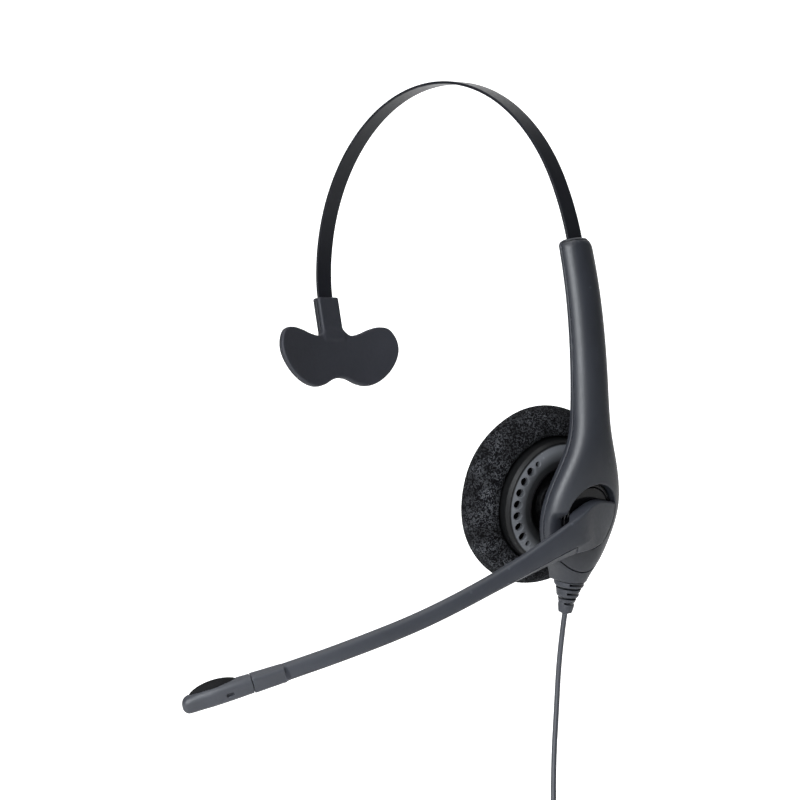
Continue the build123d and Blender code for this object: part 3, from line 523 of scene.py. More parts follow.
# ------------------------------------------------------------------ arm and hub shells
ARM = np.array([
    (90.0, 65.7, 71.5, 5.6, 1.4), (76.6, 69.2, 75.1, 6.0, 1.5), (63.7, 71.7, 77.8, 6.2, 1.6),
    (50.8, 73.2, 79.6, 6.4, 1.7), (37.8, 73.95, 80.7, 6.6, 1.9), (28.0, 74.1, 81.2, 6.85, 2.1),
    (21.7, 74.05, 81.5, 7.3, 2.3), (17.0, 73.8, 81.6, 8.4, 2.4), (12.0, 73.0, 81.35, 10.25, 2.6),
    (7.0, 71.95, 80.65, 12.35, 2.7), (2.0, 70.75, 79.75, 14.2, 2.7), (-3.0, 69.6, 78.75, 15.2, 2.8),
    (-8.0, 68.4, 77.6, 15.1, 2.8), (-13.0, 67.3, 76.4, 13.8, 2.9), (-18.0, 66.4, 75.4, 11.5, 3.0),
    (-22.7, 65.4, 74.3, 8.6, 3.0), (-27.5, 63.2, 72.3, 5.3, 3.4), (-30.0, 62.3, 71.3, 4.6, 3.4)])
A_XI, A_XO, A_B, A_S = (curve1d(ARM[:, 0], ARM[:, k], 1.6) for k in (1, 2, 3, 4))


def arm_section(p):
    x, y, z = p[:, 0], p[:, 1], p[:, 2]
    PW = 2.4 - 0.32 * sstep(z, 8.0, 34.0)
    xi, xo, b, s = A_XI(z), A_XO(z), A_B(z), A_S(z)
    x0 = xi + s
    a = xo - x0 + 0.6
    u, v = np.abs(y) / (b + 0.35), np.maximum(x - x0, 0) / a
    g = np.maximum((u ** PW + v ** PW) ** (1 / PW), 1e-3)
    gu, gv = (u / g) ** (PW - 1) / (b + 0.35), (v / g) ** (PW - 1) / a
    d1 = (g - 1) / np.maximum(np.sqrt(gu * gu + gv * gv), 0.03)
    d2 = xi - x
    return rint(d1, d2, 0.8)


def arm_blank(p):
    d = arm_section(p)
    z = p[:, 2]
    k = np.clip((p[:, 0] - A_XI(z)) / (A_XO(z) - A_XI(z)), 0, 1)
    d = rint(d, (p - END_O) @ END_DIR, 0.45 + 2.3 * k + 1.5 * sstep(np.abs(p[:, 1]), 2.0, 6.0))
    return rint(d, (p - PS.o) @ PS.z - 1.95, 0.5)


SCREWS = [24.5, -20.2]


def arm_cavity(p):
    d = arm_section(p) + 1.25
    lb = PB.l(p)
    d = np.maximum(d, lb[:, 2] + 5.5)
    d = np.maximum(d, -16.5 - p[:, 2])
    d = np.maximum(d, (p - END_O) @ END_DIR + 1.4)
    for z in SCREWS:
        d = np.maximum(d, 3.0 - np.hypot(p[:, 1], p[:, 2] - z))
    return d


def part_x(z):
    return A_XI(z) + 0.9 + 0.45 * A_S(z)


def low_z(y):
    return -24.9 + 0.05 * y * y


def end_d(p):
    return (p - END_O) @ END_DIR


def band_slot(p):
    """Slot in the end wall that the band slides through."""
    q = p - np.array((69.64, 0, 83.0))
    w = np.array((END_DIR[2], 0, -END_DIR[0]))
    return np.maximum(np.maximum(np.abs(q @ w) - 0.9, np.abs(q[:, 1]) - 3.75), np.abs(q @ END_DIR) - 6)


GAP = 0.16


def pocket(p):
    q = PB.l(p)
    r = np.hypot(q[:, 0], q[:, 1])
    return rint(r - 10.95, -4.2 - q[:, 2], 0.3)


def channel(p):
    q = PB.l(p)
    d = rint(np.abs(q[:, 0] + 15.5) - 11.0, np.abs(q[:, 1] + 4.6) - 5.0, 2.5)
    return rint(d, -3.4 - q[:, 2], 2.0)


def relief_seat(p):
    q = PS.l(p)
    return np.maximum(np.hypot(q[:, 0], q[:, 1]) - 3.3, -4.5 - q[:, 2])


def f_outer(p):
    d = arm_blank(p)
    d = rint(d, part_x(p[:, 2]) + GAP / 2 - p[:, 0], 0.2)
    d = rint(d, low_z(p[:, 1]) + GAP / 2 - p[:, 2], 0.2)
    d = rint(d, end_d(p) + 0.95 + GAP / 2, 0.2)
    d = rdiff(d, channel(p), 1.8)
    d = rdiff(d, pocket(p), 0.35)
    d = np.maximum(d, -arm_cavity(p))
    d = np.maximum(d, -band_slot(p))
    return np.maximum(d, -relief_seat(p))


def f_inner(p):
    zone = np.maximum(np.maximum(part_x(p[:, 2]) - GAP / 2 - p[:, 0], low_z(p[:, 1]) - GAP / 2 - p[:, 2]), end_d(p) + 0.95 - GAP / 2)
    d = rdiff(arm_blank(p), zone, 0.2)
    d = np.maximum(d, -arm_cavity(p))
    for z in SCREWS:
        x = A_XI(np.array([z]))[0]
        hole = np.maximum(np.hypot(p[:, 1], p[:, 2] - z) - 2.1, p[:, 0] - x - 1.2)
        d = rdiff(d, hole, 0.15)
    q = PC.l(p)
    d = rdiff(d, np.hypot(q[:, 0], q[:, 1]) - 1.96 + 0 * d, 0.15)
    d = np.maximum(d, -band_slot(p))
    return np.maximum(d, -relief_seat(p))


outer = iso("arm_outer_skin", f_outer, (63, -16.5, -29), (83.5, 16.5, 84.5), 0.34)
finish_piece(outer, "arm", M_SHELL, "shell_black", "arm_outer_shell")
inner = iso("arm_inner_skin", f_inner, (60.5, -16.5, -31.5), (80, 16.5, 84.5), 0.34)
finish_piece(inner, "arm", M_SHELL, "shell_black", "arm_inner_shell")

# ------------------------------------------------------------------ strain relief
RELIEF = np.array([(0, -2.6), (4.15, -2.6), (4.15, -1.75), (3.05, -1.75), (3.05, 2.1), (5.15, 2.1), (5.0, 3.3),
                   (4.1, 5.0), (3.75, 6.9), (2.85, 8.9), (2.65, 11.0), (2.3, 12.9), (1.45, 13.3), (0, 13.3)])


def f_relief(p):
    q = PS.l(p)
    r = np.hypot(q[:, 0], q[:, 1])
    d = poly_sdf(np.stack([r, q[:, 2]], 1), RELIEF) + 0.0
    d = np.where(r < 0.4, np.maximum(-2.6 - q[:, 2], q[:, 2] - 13.3), d)
    d = d - 0.0
    for k, (h, core) in enumerate([(2.75, 1.6), (4.35, 1.55), (6.1, 1.5), (7.9, 1.45), (9.7, 1.35)]):
        side = 1 if k % 2 == 0 else -1
        # camera side of each groove is open, the far side keeps a bridge
        slot_ = np.maximum(np.abs(q[:, 2] - h) - 0.36, 0.9 * 0 - (side * (q[:, 0] * 0.92 + 0.0) + 3.1 - 0.25 * k))
        slot_ = np.maximum(slot_, core - r)
        d = rdiff(d, slot_, 0.12)
    hole = np.maximum(r - 0.93, 12.0 - q[:, 2])
    return rdiff(d, hole, 0.1)


relief = iso("relief_sleeve", f_relief, (-5.8, -5.8, -3.2), (5.8, 5.8, 13.9), 0.16, fr=PS)
finish_piece(relief, "arm", M_RELIEF, "rubber_black", "strain_relief")

# ------------------------------------------------------------------ boom
BA = unit((math.cos(math.radians(203.2)), math.sin(math.radians(203.2)), 0))
BP = np.array((BA[1], -BA[0], 0.0))


def boom_local(p):
    q = PB.l(p)
    return q @ BA, q @ BP, q[:, 2], np.hypot(q[:, 0], q[:, 1])


# along the boom: lower edge, upper edge, ridge line, underside and ridge height
B_CL = curve1d([-12, -6, -1, 2.9, 6.9, 10.9, 15.4, 21.4, 30, 38, 45, 58.1, 73.3, 89.3, 107, 116.8],
               [-11.6, -11.4, -10.7, -9.7, -8.5, -7.3, -6.3, -5.45, -4.7, -4.2, -3.9, -3.9, -3.95, -3.55, -3.0, -2.8], 0.8)
B_CU = curve1d([-12, -9.0, -7.0, -4.0, -0.4, 3.9, 10.4, 16.7, 23.6, 30, 38.2, 45, 58.1, 73.3, 89.3, 107, 116.8],
               [-0.9, 0.9, 2.3, 4.0, 5.0, 4.9, 4.4, 3.9, 3.45, 2.8, 2.35, 2.15, 1.85, 1.7, 2.1, 2.6, 2.85], 0.8)
B_HM = curve1d([-12, 0, 9.5, 14.2, 21.3, 30, 45, 58.1, 73.3, 89.3, 107, 116.8],
               [2.3, 2.3, 2.3, 2.4, 2.3, 1.7, 0.49, -1.25, -4.17, -8.3, -14.09, -17.9], 1.5)
B_T = curve1d([-12, 0, 9.5, 14.2, 21.3, 30, 45, 58.1, 116.8], [3.0, 3.0, 3.0, 3.2, 3.4, 3.7, 3.9, 4.0, 4.2], 1.5)
B_LIFT = curve1d([-12, -6, -2, 1, 4, 8, 12, 14], [0.0, 0.0, 0.5, 1.1, 1.9, 3.1, 4.4, 5.0], 0.8)


def slope(fn, a):
    s = (fn(a + 1) - fn(a - 1)) / 2
    return 1 / np.sqrt(1 + s * s)


def boom_solid(p):
    a, c, h, r = boom_local(p)
    cl, cu, hm, t = B_CL(a), B_CU(a), B_HM(a), B_T(a)
    w = cu - cl
    cr = cl + 0.27 * w
    hr, hu, hl = hm + 0.5 * t, hm + 0.08 * t, hm + 0.05 * t
    k = slope(B_HM, a)
    L1, L2 = np.hypot(cu - cr, hr - hu), np.hypot(cr - cl, hr - hl)
    up = ((c - cr) * (hr - hu) + (h - hr) * (cu - cr)) / L1
    up2 = h - (hr - 0.08 * t)
    lowf = (-(c - cr) * (hr - hl) + (h - hr) * (cr - cl)) / L2
    top = rint(up - 0.10 * t * np.sin(np.clip((c - cr) / (cu - cr), 0, 1) * math.pi), lowf, 0.30)
    leaf = arm_section(p) - B_LIFT(a)
    m = sstep(a, 1.5, 12.5)
    top = (top * m + leaf * (1 - m)) * k
    d = rint(top, c - cu, 0.7)
    d = rint(d, cl - c, 0.55)
    under = hm - 0.5 * t
    under = np.where(a < 12, under * sstep(a, 7.0, 12.0) + (-2.35) * (1 - sstep(a, 7.0, 12.0)), under)
    d = rint(d, (under - h) * k, 0.6)
    d = rint(d, np.where(a < 2, r - 10.75, r - 10.75 - 4 * (a - 2)), 0.3)
    return rint(d, a - 118.6, 0.15)


def crease(p):
    a, c, h, r = boom_local(p)
    cl, cu = B_CL(a), B_CU(a)
    return cl + 0.27 * (cu - cl) - c, a


def f_boom_out(p):
    e, a = crease(p)
    cut = np.minimum(12.0 - a, -(e + 0.05))
    return rint(boom_solid(p), -cut * 1.0 if False else np.where(a > 12.0, e + 0.05, np.maximum(e + 0.05, -40) - 8 * (12.0 - a)), 0.16)


def f_boom_in(p):
    e, a = crease(p)
    d = rint(boom_solid(p), 0.05 - e, 0.16)
    return np.maximum(d, 12.3 - a)


BFR = Fr(PB.o, BA @ PB.R.T, PB.z)
# grid axes: along the boom, across, off the hub
b_out = iso("boom_outer_skin", f_boom_out, (-12, -7.5, -26), (118.5, 13, 6.5), 0.33, fr=BFR)
finish_piece(b_out, "boom", M_BOOM, "boom_black", "boom_outer_half")
b_in = iso("boom_inner_skin", f_boom_in, (11, -5, -26), (118.5, 9, 6), 0.30, fr=BFR)
finish_piece(b_in, "boom", M_BOOM, "boom_black", "boom_inner_half")


def f_rotor(p):
    q = PB.l(p)
    r = np.hypot(q[:, 0], q[:, 1])
    d = rint(rint(r - 10.6, q[:, 2] + 2.45, 0.5), -4.0 - q[:, 2], 0.2)
    ring = np.hypot(np.maximum(np.abs(r - 9.6) - 0.2, 0), q[:, 2] + 2.45) - 0.3
    return rdiff(d, ring, 0.15)


rotor = iso("rotor_disc", f_rotor, (-11.3, -11.3, -4.6), (11.3, 11.3, -1.6), 0.25, fr=PB)
finish_piece(rotor, "boom", M_ROTOR, "rotor_black", "boom_rotor")

# ------------------------------------------------------------------ microphone
S_C = curve1d([116, 117.2, 122, 126.7, 132.3, 137.9, 142.8, 145.7, 148.5], [0.35, 0.4, 0.52, 0.65, 0.72, 0.66, 0.44, 0.24, 0.15], 1.0)
S_H = curve1d([114, 117.2, 122, 126.9, 132.3, 137.9, 142.8, 145.7, 147.5], [-16.7, -18.05, -20.1, -22.2, -24.7, -27.3, -29.7, -31.1, -32.5], 1.0)


def mic_section(p, w, t, rad):
    a, c, h, r = boom_local(p)
    k = slope(S_H, a)
    u, v = c - S_C(a), (h - S_H(a)) * k
    qx, qy = np.abs(u) - w / 2 + rad, np.abs(v) - t / 2 + rad
    return np.hypot(np.maximum(qx, 0), np.maximum(qy, 0)) + np.minimum(np.maximum(qx, qy), 0) - rad, a, u, v


def axial(p, a0):
    """Distance past a plane square to the boom at that place, positive beyond."""
    a, c, h, r = boom_local(p)
    s = (S_H(a0 + 0.5) - S_H(a0 - 0.5))
    return ((a - a0) + (h - S_H(a0)) * s) / math.hypot(1, s)


def f_sleeve(p):
    a = boom_local(p)[0]
    w = 5.4 + 0.03 * (a - 117)
    d, a, u, v = mic_section(p, w, 4.4 + 0.05 * (a - 117), 1.3)
    d = rint(d, -axial(p, 117.3), 0.3)
    return rint(d, axial(p, 126.75), 0.15)


H_W = curve1d([126, 127, 132.3, 137.9, 141.5, 144.5, 147.5], [5.75, 5.8, 6.15, 6.1, 5.95, 5.5, 5.0], 1.0)


def f_house(p):
    a = boom_local(p)[0]
    w = H_W(a)
    d, a, u, v = mic_section(p, w, np.minimum(w * 0.86, 5.4 - 0.16 * np.maximum(a - 138, 0)), np.minimum(w * 0.33, 2.1))
    d = rint(d, -axial(p, 126.95), 0.15)
    d = rint(d, axial(p, 146.7) + 0.10 * np.abs(u + 0.3), 1.9)
    # seat of the grille on the upper, inner side
    g = grille_d(p) + 0.0
    d = rdiff(d, g - 0.12, 0.12)
    # oval port on the outer face
    ax = axial(p, 133.5)
    port = np.maximum(np.hypot(np.maximum(np.abs(ax) - 0.65, 0), u + 0.1) - 0.55, 1.7 - v)
    return rdiff(d, port, 0.15)


def grille_d(p):
    """Domed oval of mesh on the side of the capsule."""
    a, c, h, r = boom_local(p)
    ax = axial(p, 137.4)
    k = slope(S_H, a)
    u, v = c - S_C(a), (h - S_H(a)) * k
    e = np.sqrt((ax / 7.9) ** 2 + ((v + 1.2) / 2.3) ** 2 + 1e-9)
    side = (e - 1) * 2.2
    dome = u - (2.2 + 2.25 * np.clip(1 - np.minimum(e, 1) ** 2, 0, 1) ** 0.8)
    return rint(rint(side, dome * 0.75, 0.3), 1.2 - u, 0.1)


sleeve = iso("mic_sleeve_skin", f_sleeve, (115.5, -6, -26), (129, 4.5, -14), 0.25, fr=BFR)
finish_piece(sleeve, "boom", M_BOOM, "boom_black", "mic_sleeve")
house = iso("mic_house_skin", f_house, (124.5, -7, -36.5), (150, 5, -17.5), 0.25, fr=BFR)
finish_piece(house, "boom", M_HOUSE, "boom_black", "mic_housing")
grille = iso("mic_grille_skin", grille_d, (130, -8, -34), (147, 0, -20), 0.22, fr=BFR)
finish_piece(grille, "boom", M_GRILLE, "grille_black", "mic_grille")

# ------------------------------------------------------------------ headband
SLIDE_R, SLIDE_C = 190.0, (75.8 - 190.0, 35.0)
E_ANG = math.asin((83.0 - SLIDE_C[1]) / SLIDE_R)
CHAIN = [(21.83, 97.97), (33.87, 65.59), (36.34, 60.25), (36.0, 62.66), (36.12, 66.43), (29.3, 65.84), (7.0, 42.0), (15.0, 400.0)]
BAND_W, BAND_T = 6.7, 1.0


def band_line(step=0.8):
    """Centre line of the band with its outward normal."""
    pts, nr = [], []
    tail = 47.0
    for s in np.arange(tail, 0, -step):
        a = E_ANG - s / SLIDE_R
        pts.append((SLIDE_C[0] + SLIDE_R * math.cos(a), SLIDE_C[1] + SLIDE_R * math.sin(a)))
        nr.append(a)
    x, z = SLIDE_C[0] + SLIDE_R * math.cos(E_ANG), 83.0
    h = math.pi / 2 + E_ANG
    for ln, rad in CHAIN:
        k = max(2, int(round(ln / step)))
        cx, cz = x - rad * math.sin(h), z + rad * math.cos(h)
        dh = ln / rad
        for i in range(k):
            a = h - math.pi / 2 + dh * i / k
            pts.append((cx + rad * math.cos(a), cz + rad * math.sin(a)))
            nr.append(a)
        x, z = cx + rad * math.cos(h - math.pi / 2 + dh), cz + rad * math.sin(h - math.pi / 2 + dh)
        h += dh
    pts.append((x, z))
    nr.append(h - math.pi / 2)
    return np.array(pts), np.unwrap(np.array(nr)), (x, z), h


B_PTS, B_ANG, B_END, B_HEAD = band_line()


def rounded_rect(w, t, r, n=5):
    out = []
    for sx, sy, a0 in ((1, 1, 0), (-1, 1, 90), (-1, -1, 180), (1, -1, 270)):
        for i in range(n + 1):
            a = math.radians(a0 + 90 * i / n)
            out.append((sx * (w / 2 - r) + r * math.cos(a), sy * (t / 2 - r) + r * math.sin(a)))
    return np.array(out)


rings = []
sec = rounded_rect(BAND_W, BAND_T, 0.28, 5)
# position of each section point across the strip, from -1 to 1; nothing below reads it
sec_x = np.clip(sec[:, 0] / (BAND_W / 2), -1, 1)
for (x, z), a in zip(B_PTS, B_ANG):
    nx, nz = math.cos(a), math.sin(a)
    rings.append([(x + v * nx, u, z + v * nz) for u, v in sec])
band = tube_loft("band_strip", rings)
finish_piece(band, "headband", M_BAND, "band_black", "headband_strip")
bev = band.modifiers.new("faces", "SUBSURF")
bev.levels = bev.render_levels = 1

# ------------------------------------------------------------------ temple rest
T_TILT = B_HEAD - 1.5 * math.pi
T_UP = np.array((-math.sin(T_TILT), 0, math.cos(T_TILT)))
T_N = np.array((math.cos(T_TILT), 0, math.sin(T_TILT)))
T_X = B_END[0] + (B_END[1] - 43.0) * math.tan(T_TILT)
PT = Fr((T_X, 0, 43.0), (0, 1, 0), T_N)
PAD = [(0, -7.7), (3.2, -8.2), (7.6, -10.1), (12.1, -10.9), (17.4, -9.5), (22.9, -5.6), (26.4, -0.6),
       (27.3, 3.4), (26.3, 7.4), (24.0, 10.2), (20.0, 10.9), (15.6, 10.1), (11.2, 8.6), (7.2, 8.0), (4.6, 9.4)]
PAD_BEND = 130.0
pad_pts = [(x, y) for x, y in PAD] + [(-x, y) for x, y in reversed(PAD) if x > 0]
OUTLINE = closed_curve(pad_pts, 150)


def pad_local(p):
    """Across, up and off the rest's curved middle face."""
    q = PT.l(p)
    off = PAD_BEND - np.hypot(PAD_BEND - q[:, 2], q[:, 0])
    x, y = q[:, 0] - 1.0, q[:, 1] + 0.55
    return x * 0.99973 - y * 0.0233, x * 0.0233 + y * 0.99973, off


def box2(x, y, cx, cy, w, h, r):
    qx, qy = np.abs(x - cx) - w / 2 + r, np.abs(y - cy) - h / 2 + r
    return np.hypot(np.maximum(qx, 0), np.maximum(qy, 0)) + np.minimum(np.maximum(qx, qy), 0) - r


def band_hole(p):
    q = PT.l(p)
    return np.maximum(np.maximum(np.abs(q[:, 0]) - 3.42, np.abs(q[:, 2]) - 0.56), 4.3 - q[:, 1])


def f_cover(p):
    x, y, o = pad_local(p)
    e = poly_sdf(np.stack([x, y], 1), OUTLINE)
    d = rint(rint(e, o - 1.75, 0.8), 0.3 - o, 0.12)
    neck = box2(PT.l(p)[:, 0], y, 0.55, 14.4, 9.4, 15.8, 0.8)
    n = rint(rint(neck, o - 1.75, 0.8), 0.3 - o, 0.12)
    d = runi(d, n, 1.6)
    return np.maximum(d, -band_hole(p))


def f_padback(p):
    x, y, o = pad_local(p)
    e = poly_sdf(np.stack([x, y], 1), OUTLINE) + 0.12
    d = rint(rint(e, o - 0.16, 0.12), -0.8 - o, 0.5)
    neck = box2(PT.l(p)[:, 0], y, 0.45, 12.6, 9.9, 19.2, 0.8)
    n = rint(rint(neck, o - 0.16, 0.12), -1.7 - o, 0.7)
    d = runi(d, n, 1.2)
    return np.maximum(d, -band_hole(p))


cover = iso("temple_cover", f_cover, (-29, -12.5, -1), (29, 21, 6), 0.36, fr=PT)
finish_piece(cover, "headband", M_PAD, "pad_black", "temple_pad_cover")
padback = iso("temple_back", f_padback, (-29, -12.5, -3), (29, 21, 5), 0.36, fr=PT)
finish_piece(padback, "headband", M_PADBACK, "shell_black", "temple_pad_back")

# ------------------------------------------------------------------ speaker dish
DISH = np.array([(0, 3.9), (7.2, 3.9), (7.2, 8.6), (10.6, 9.3), (12.4, 11.6), (14.8, 12.0), (19.0, 11.3), (19.5, 10.4), (19.9, 5.2),
                 (24.4, 5.0), (24.4, 3.4), (24.8, 3.4), (24.8, 6.0), (20.9, 6.2), (20.5, 11.3), (19.9, 12.5), (17.1, 13.35), (14.5, 13.95),
                 (12.2, 14.1), (11.4, 13.4), (10.4, 10.7), (7.0, 10.1), (6.4, 11.7), (0, 11.7)])


def f_dish(p):
    q = PC.l(p)
    r = np.hypot(q[:, 0], q[:, 1])
    d = poly_sdf(np.stack([r, q[:, 2]], 1), DISH) - 0.05
    d = np.where(r < 0.5, np.maximum(3.9 - q[:, 2], q[:, 2] - 11.7), d)
    ball = np.sqrt((q[:, 0] ** 2 + q[:, 1] ** 2) + (q[:, 2] - 9.5) ** 2) - 4.4
    d = rdiff(d, ball, 0.15)
    d = np.maximum(d, -np.maximum(r - 3.8, 10.4 - q[:, 2]))
    for base in (180.0, 0.0):
        for k in range(-4, 5):
            a = math.radians(base - 1.0 + (k * 12.95 if abs(k) < 4 else math.copysign(50.3, k)))
            rr = 0.8 if abs(k) == 4 else 1.32
            h = np.hypot(q[:, 0] - 17.1 * math.cos(a), q[:, 1] - 17.1 * math.sin(a)) - rr
            h = np.maximum(h, 10.5 - q[:, 2])
            d = rdiff(d, h, 0.22)
    return d


def dish_painted_shade(m):
    """Grey vented band between a black rim and a dark middle, by distance from the cup's axis: painted shade, the dark
    middle standing in for the hub's and arm's shadow and the black rim for the deep gap at the foam's lip.
    """
    nt = m.node_tree
    b = nt.nodes["Principled BSDF"]
    src = b.inputs["Base Color"].links[0].from_socket
    co_ = nt.nodes.new("ShaderNodeTexCoord")
    sub = nt.nodes.new("ShaderNodeVectorMath")
    sub.operation = "SUBTRACT"
    link(nt, co_.outputs["Object"], sub.inputs[0])
    sub.inputs[1].default_value = tuple(PC.o * MM)
    dot = nt.nodes.new("ShaderNodeVectorMath")
    dot.operation = "DOT_PRODUCT"
    link(nt, sub.outputs[0], dot.inputs[0])
    dot.inputs[1].default_value = tuple(PC.z)
    ax_ = nt.nodes.new("ShaderNodeVectorMath")
    ax_.operation = "SCALE"
    ax_.inputs[0].default_value = tuple(PC.z)
    link(nt, dot.outputs["Value"], ax_.inputs["Scale"])
    rad = nt.nodes.new("ShaderNodeVectorMath")
    rad.operation = "SUBTRACT"
    link(nt, sub.outputs[0], rad.inputs[0])
    link(nt, ax_.outputs[0], rad.inputs[1])
    ln = nt.nodes.new("ShaderNodeVectorMath")
    ln.operation = "LENGTH"
    link(nt, rad.outputs[0], ln.inputs[0])
    up = node(nt, "ShaderNodeMapRange")
    up.inputs["From Min"].default_value, up.inputs["From Max"].default_value = 0.0, 0.025
    link(nt, ln.outputs["Value"], up.inputs["Value"])
    # painted shade ramp: darker towards the axis for the hub's and arm's shadow, black past the vents for the shaded
    # gap at the foam's lip
    zone = ramp(nt, up.outputs["Result"], [(0.48, 0.04), (0.57, 0.12), (0.65, 0.60), (0.71, 1.0), (0.765, 1.0), (0.78, 0.03)])
    mix = nt.nodes.new("ShaderNodeMix")
    mix.data_type = "RGBA"
    mix.blend_type = "MULTIPLY"
    mix.inputs[0].default_value = 1.0
    link(nt, src, mix.inputs[6])
    link(nt, zone.outputs["Color"], mix.inputs[7])
    link(nt, mix.outputs[2], b.inputs["Base Color"])


dish_painted_shade(M_DISH)
dish = iso("dish_skin", f_dish, (-25.6, -25.6, 2.8), (25.6, 25.6, 14.6), 0.3, fr=PC)
finish_piece(dish, "ear_cup", M_DISH, "dish_grey", "speaker_back")

# ------------------------------------------------------------------ foam ear cushion
def cell_noise(p, size, seed):
    """Distance to the nearest of one jittered point per cell, in cells."""
    g = np.floor(p / size).astype(np.int64)
    f = p / size - g
    best = np.full(len(p), 9.0)
    for dx in (-1, 0, 1):
        for dy in (-1, 0, 1):
            for dz in (-1, 0, 1):
                c = g + (dx, dy, dz)
                h = (c[:, 0] * 73856093) ^ (c[:, 1] * 19349663) ^ (c[:, 2] * 83492791) ^ (seed * 2654435761)
                h = (h ^ (h >> 13)) * 1274126177 & 0xFFFFFFFF
                j = np.stack([(h & 1023), (h >> 10) & 1023, (h >> 20) & 1023], 1) / 1023.0
                v = np.array((dx, dy, dz)) + j - f
                best = np.minimum(best, (v * v).sum(1))
    return np.sqrt(best)


FOAM = [(21.5, 7.3), (21.35, 8.2), (21.6, 8.95), (22.6, 9.35), (24.2, 9.3), (25.8, 8.85), (27.3, 7.9), (28.6, 6.5), (29.45, 4.6), (29.9, 2.6),
        (29.9, 1.0), (29.5, -0.6), (28.55, -1.9), (27.05, -3.2), (25.15, -4.4), (22.7, -5.4), (20.0, -6.05), (17.0, -6.35), (12.0, -6.4), (6.0, -6.4), (0.0, -6.4)]
FOAM_IN = [(0.0, -3.6), (25.2, -3.6), (25.2, 7.15), (21.5, 7.3)]


def resample(pts, step):
    P = np.asarray(pts, float)
    s = np.concatenate([[0], np.cumsum(np.linalg.norm(np.diff(P, axis=0), axis=1))])
    fx, fy = curve1d(s, P[:, 0], 0.25), curve1d(s, P[:, 1], 0.25)
    t = np.linspace(0, s[-1], int(s[-1] / step) + 1)
    return np.stack([np.maximum(fx(t), 0), fy(t)], 1)


def foam_cushion():
    prof = resample(FOAM, 0.30)
    seg = 620
    th = np.arange(seg) * 2 * math.pi / seg
    vs, fs = [], []
    rows = [(r, h, True) for r, h in prof if r > 2.0] + [(r, h, False) for r, h in ((1.9, -6.4),)]
    inner_rows = [(1.9, -3.6), (25.2, -3.6), (25.2, 7.15)]
    P = []
    for r, h, _ in rows:
        P.append(np.stack([r * np.cos(th), r * np.sin(th), np.full(seg, h)], 1))
    nv = len(P)
    for r, h in inner_rows:
        P.append(np.stack([r * np.cos(th), r * np.sin(th), np.full(seg, h)], 1))
    V = np.array(P)
    # soft unevenness of cut foam, then the open cells, faded in over the first profile rows
    outer_ = V[:nv]
    dr = np.gradient(outer_, axis=0)
    dt = np.gradient(np.concatenate([outer_[:, -1:], outer_, outer_[:, :1]], 1), axis=1)[:, 1:-1]
    nn = np.cross(dt, dr)
    nn /= np.maximum(np.linalg.norm(nn, axis=2, keepdims=True), 1e-9)
    mid = np.array((0, 0, 0.5))
    sgn = np.sign(((outer_ - mid) * nn).sum(2, keepdims=True))
    nn *= np.where(sgn == 0, 1, sgn)
    flat = outer_.reshape(-1, 3)
    lump = 0.08 * np.sin(th * 3 + 0.7)[None, :] + 0.06 * np.sin(th * 7 + 2.0)[None, :]
    c1 = cell_noise(flat, 0.75, 1).reshape(nv, seg)
    c2 = cell_noise(flat, 0.42, 5).reshape(nv, seg)
    pit = -0.20 * np.clip(1 - c1 / 0.5, 0, 1) - 0.10 * np.clip(1 - c2 / 0.55, 0, 1)
    edge = np.linspace(0, 1, nv)
    fade = np.clip(edge / 0.02, 0, 1)[:, None]
    V[:nv] += nn * ((lump + pit) * fade)[:, :, None]
    k = len(V)
    vs = PC.w(V.reshape(-1, 3))
    for i in range(k):
        j = (i + 1) % k
        if i in (nv - 1,):
            continue
        for q in range(seg):
            q2 = (q + 1) % seg
            fs.append((i * seg + q, i * seg + q2, j * seg + q2, j * seg + q))
    # close the two middle discs
    fs.append(tuple((nv - 1) * seg + q for q in range(seg)))
    fs.append(tuple(nv * seg + q for q in range(seg - 1, -1, -1)))
    ob = make_object("ear_foam", vs, fs)
    bm = bmesh.new()
    bm.from_mesh(ob.data)
    bmesh.ops.triangulate(bm, faces=[f for f in bm.faces if len(f.verts) > 4])
    bmesh.ops.recalc_face_normals(bm, faces=bm.faces)
    bm.to_mesh(ob.data)
    bm.free()
    ob.data.polygons.foreach_set("use_smooth", [True] * len(ob.data.polygons))
    return ob


foam = foam_cushion()
finish_piece(foam, "ear_cup", M_FOAM, "foam_black", "ear_cushion")

# ------------------------------------------------------------------ cord, coil, tail
SR_END = PS.w((0, 0, 13.3))
CORD = [tuple(SR_END), (SR_END[0] - 1.23, 0, SR_END[2] - 6.5), (61.9, 0.25, -57.2), (61.0, 0.1, -72.0),
        (61.4, -1.6, -88.0), (64.2, -4.6, -106.0), (66.8, -5.4, -116.0)]
COIL = np.array((61.3, 5.4, -118.0))
TAIL = [(65.8, -6.6, -128.0), (62.6, -4.4, -143.0), (61.6, -2.6, -158.0)]
turns = []
PER = 16
for i in range(1, 12 * PER + 1):
    th = i * 2 * math.pi / PER
    n_ = i / PER
    if n_ <= 6:
        R, xx = 9.9, 6.4 - (6.4 + 4.9) * n_ / 6
    else:
        R, xx = 11.7, -4.9 + (4.9 + 4.6) * (n_ - 6) / 6
    if 5.5 < n_ < 6.5:
        R = 9.9 + 1.8 * sstep(np.array([n_]), 5.5, 6.5)[0]
    R /= math.cos(math.pi / PER)
    turns.append((COIL[0] + xx, COIL[1] - R * math.cos(th), COIL[2] - R * math.sin(th)))
route = CORD + turns + TAIL
cu = bpy.data.curves.new("cord", "CURVE")
cu.dimensions = "3D"
sp = cu.splines.new("NURBS")
sp.points.add(len(route) - 1)
for pt, q in zip(sp.points, route):
    pt.co = (q[0] * MM, q[1] * MM, q[2] * MM, 1)
sp.order_u = 3
sp.use_endpoint_u = True
sp.resolution_u = 8
cu.bevel_depth = 0.9 * MM
cu.bevel_resolution = 6
cu.use_fill_caps = True
cord = bpy.data.objects.new("free_cord", cu)
bpy.context.scene.collection.objects.link(cord)
cord.data.materials.append(M_CORD)
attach(cord, "arm")
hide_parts("cord", "cord_coil", "cord_tail")

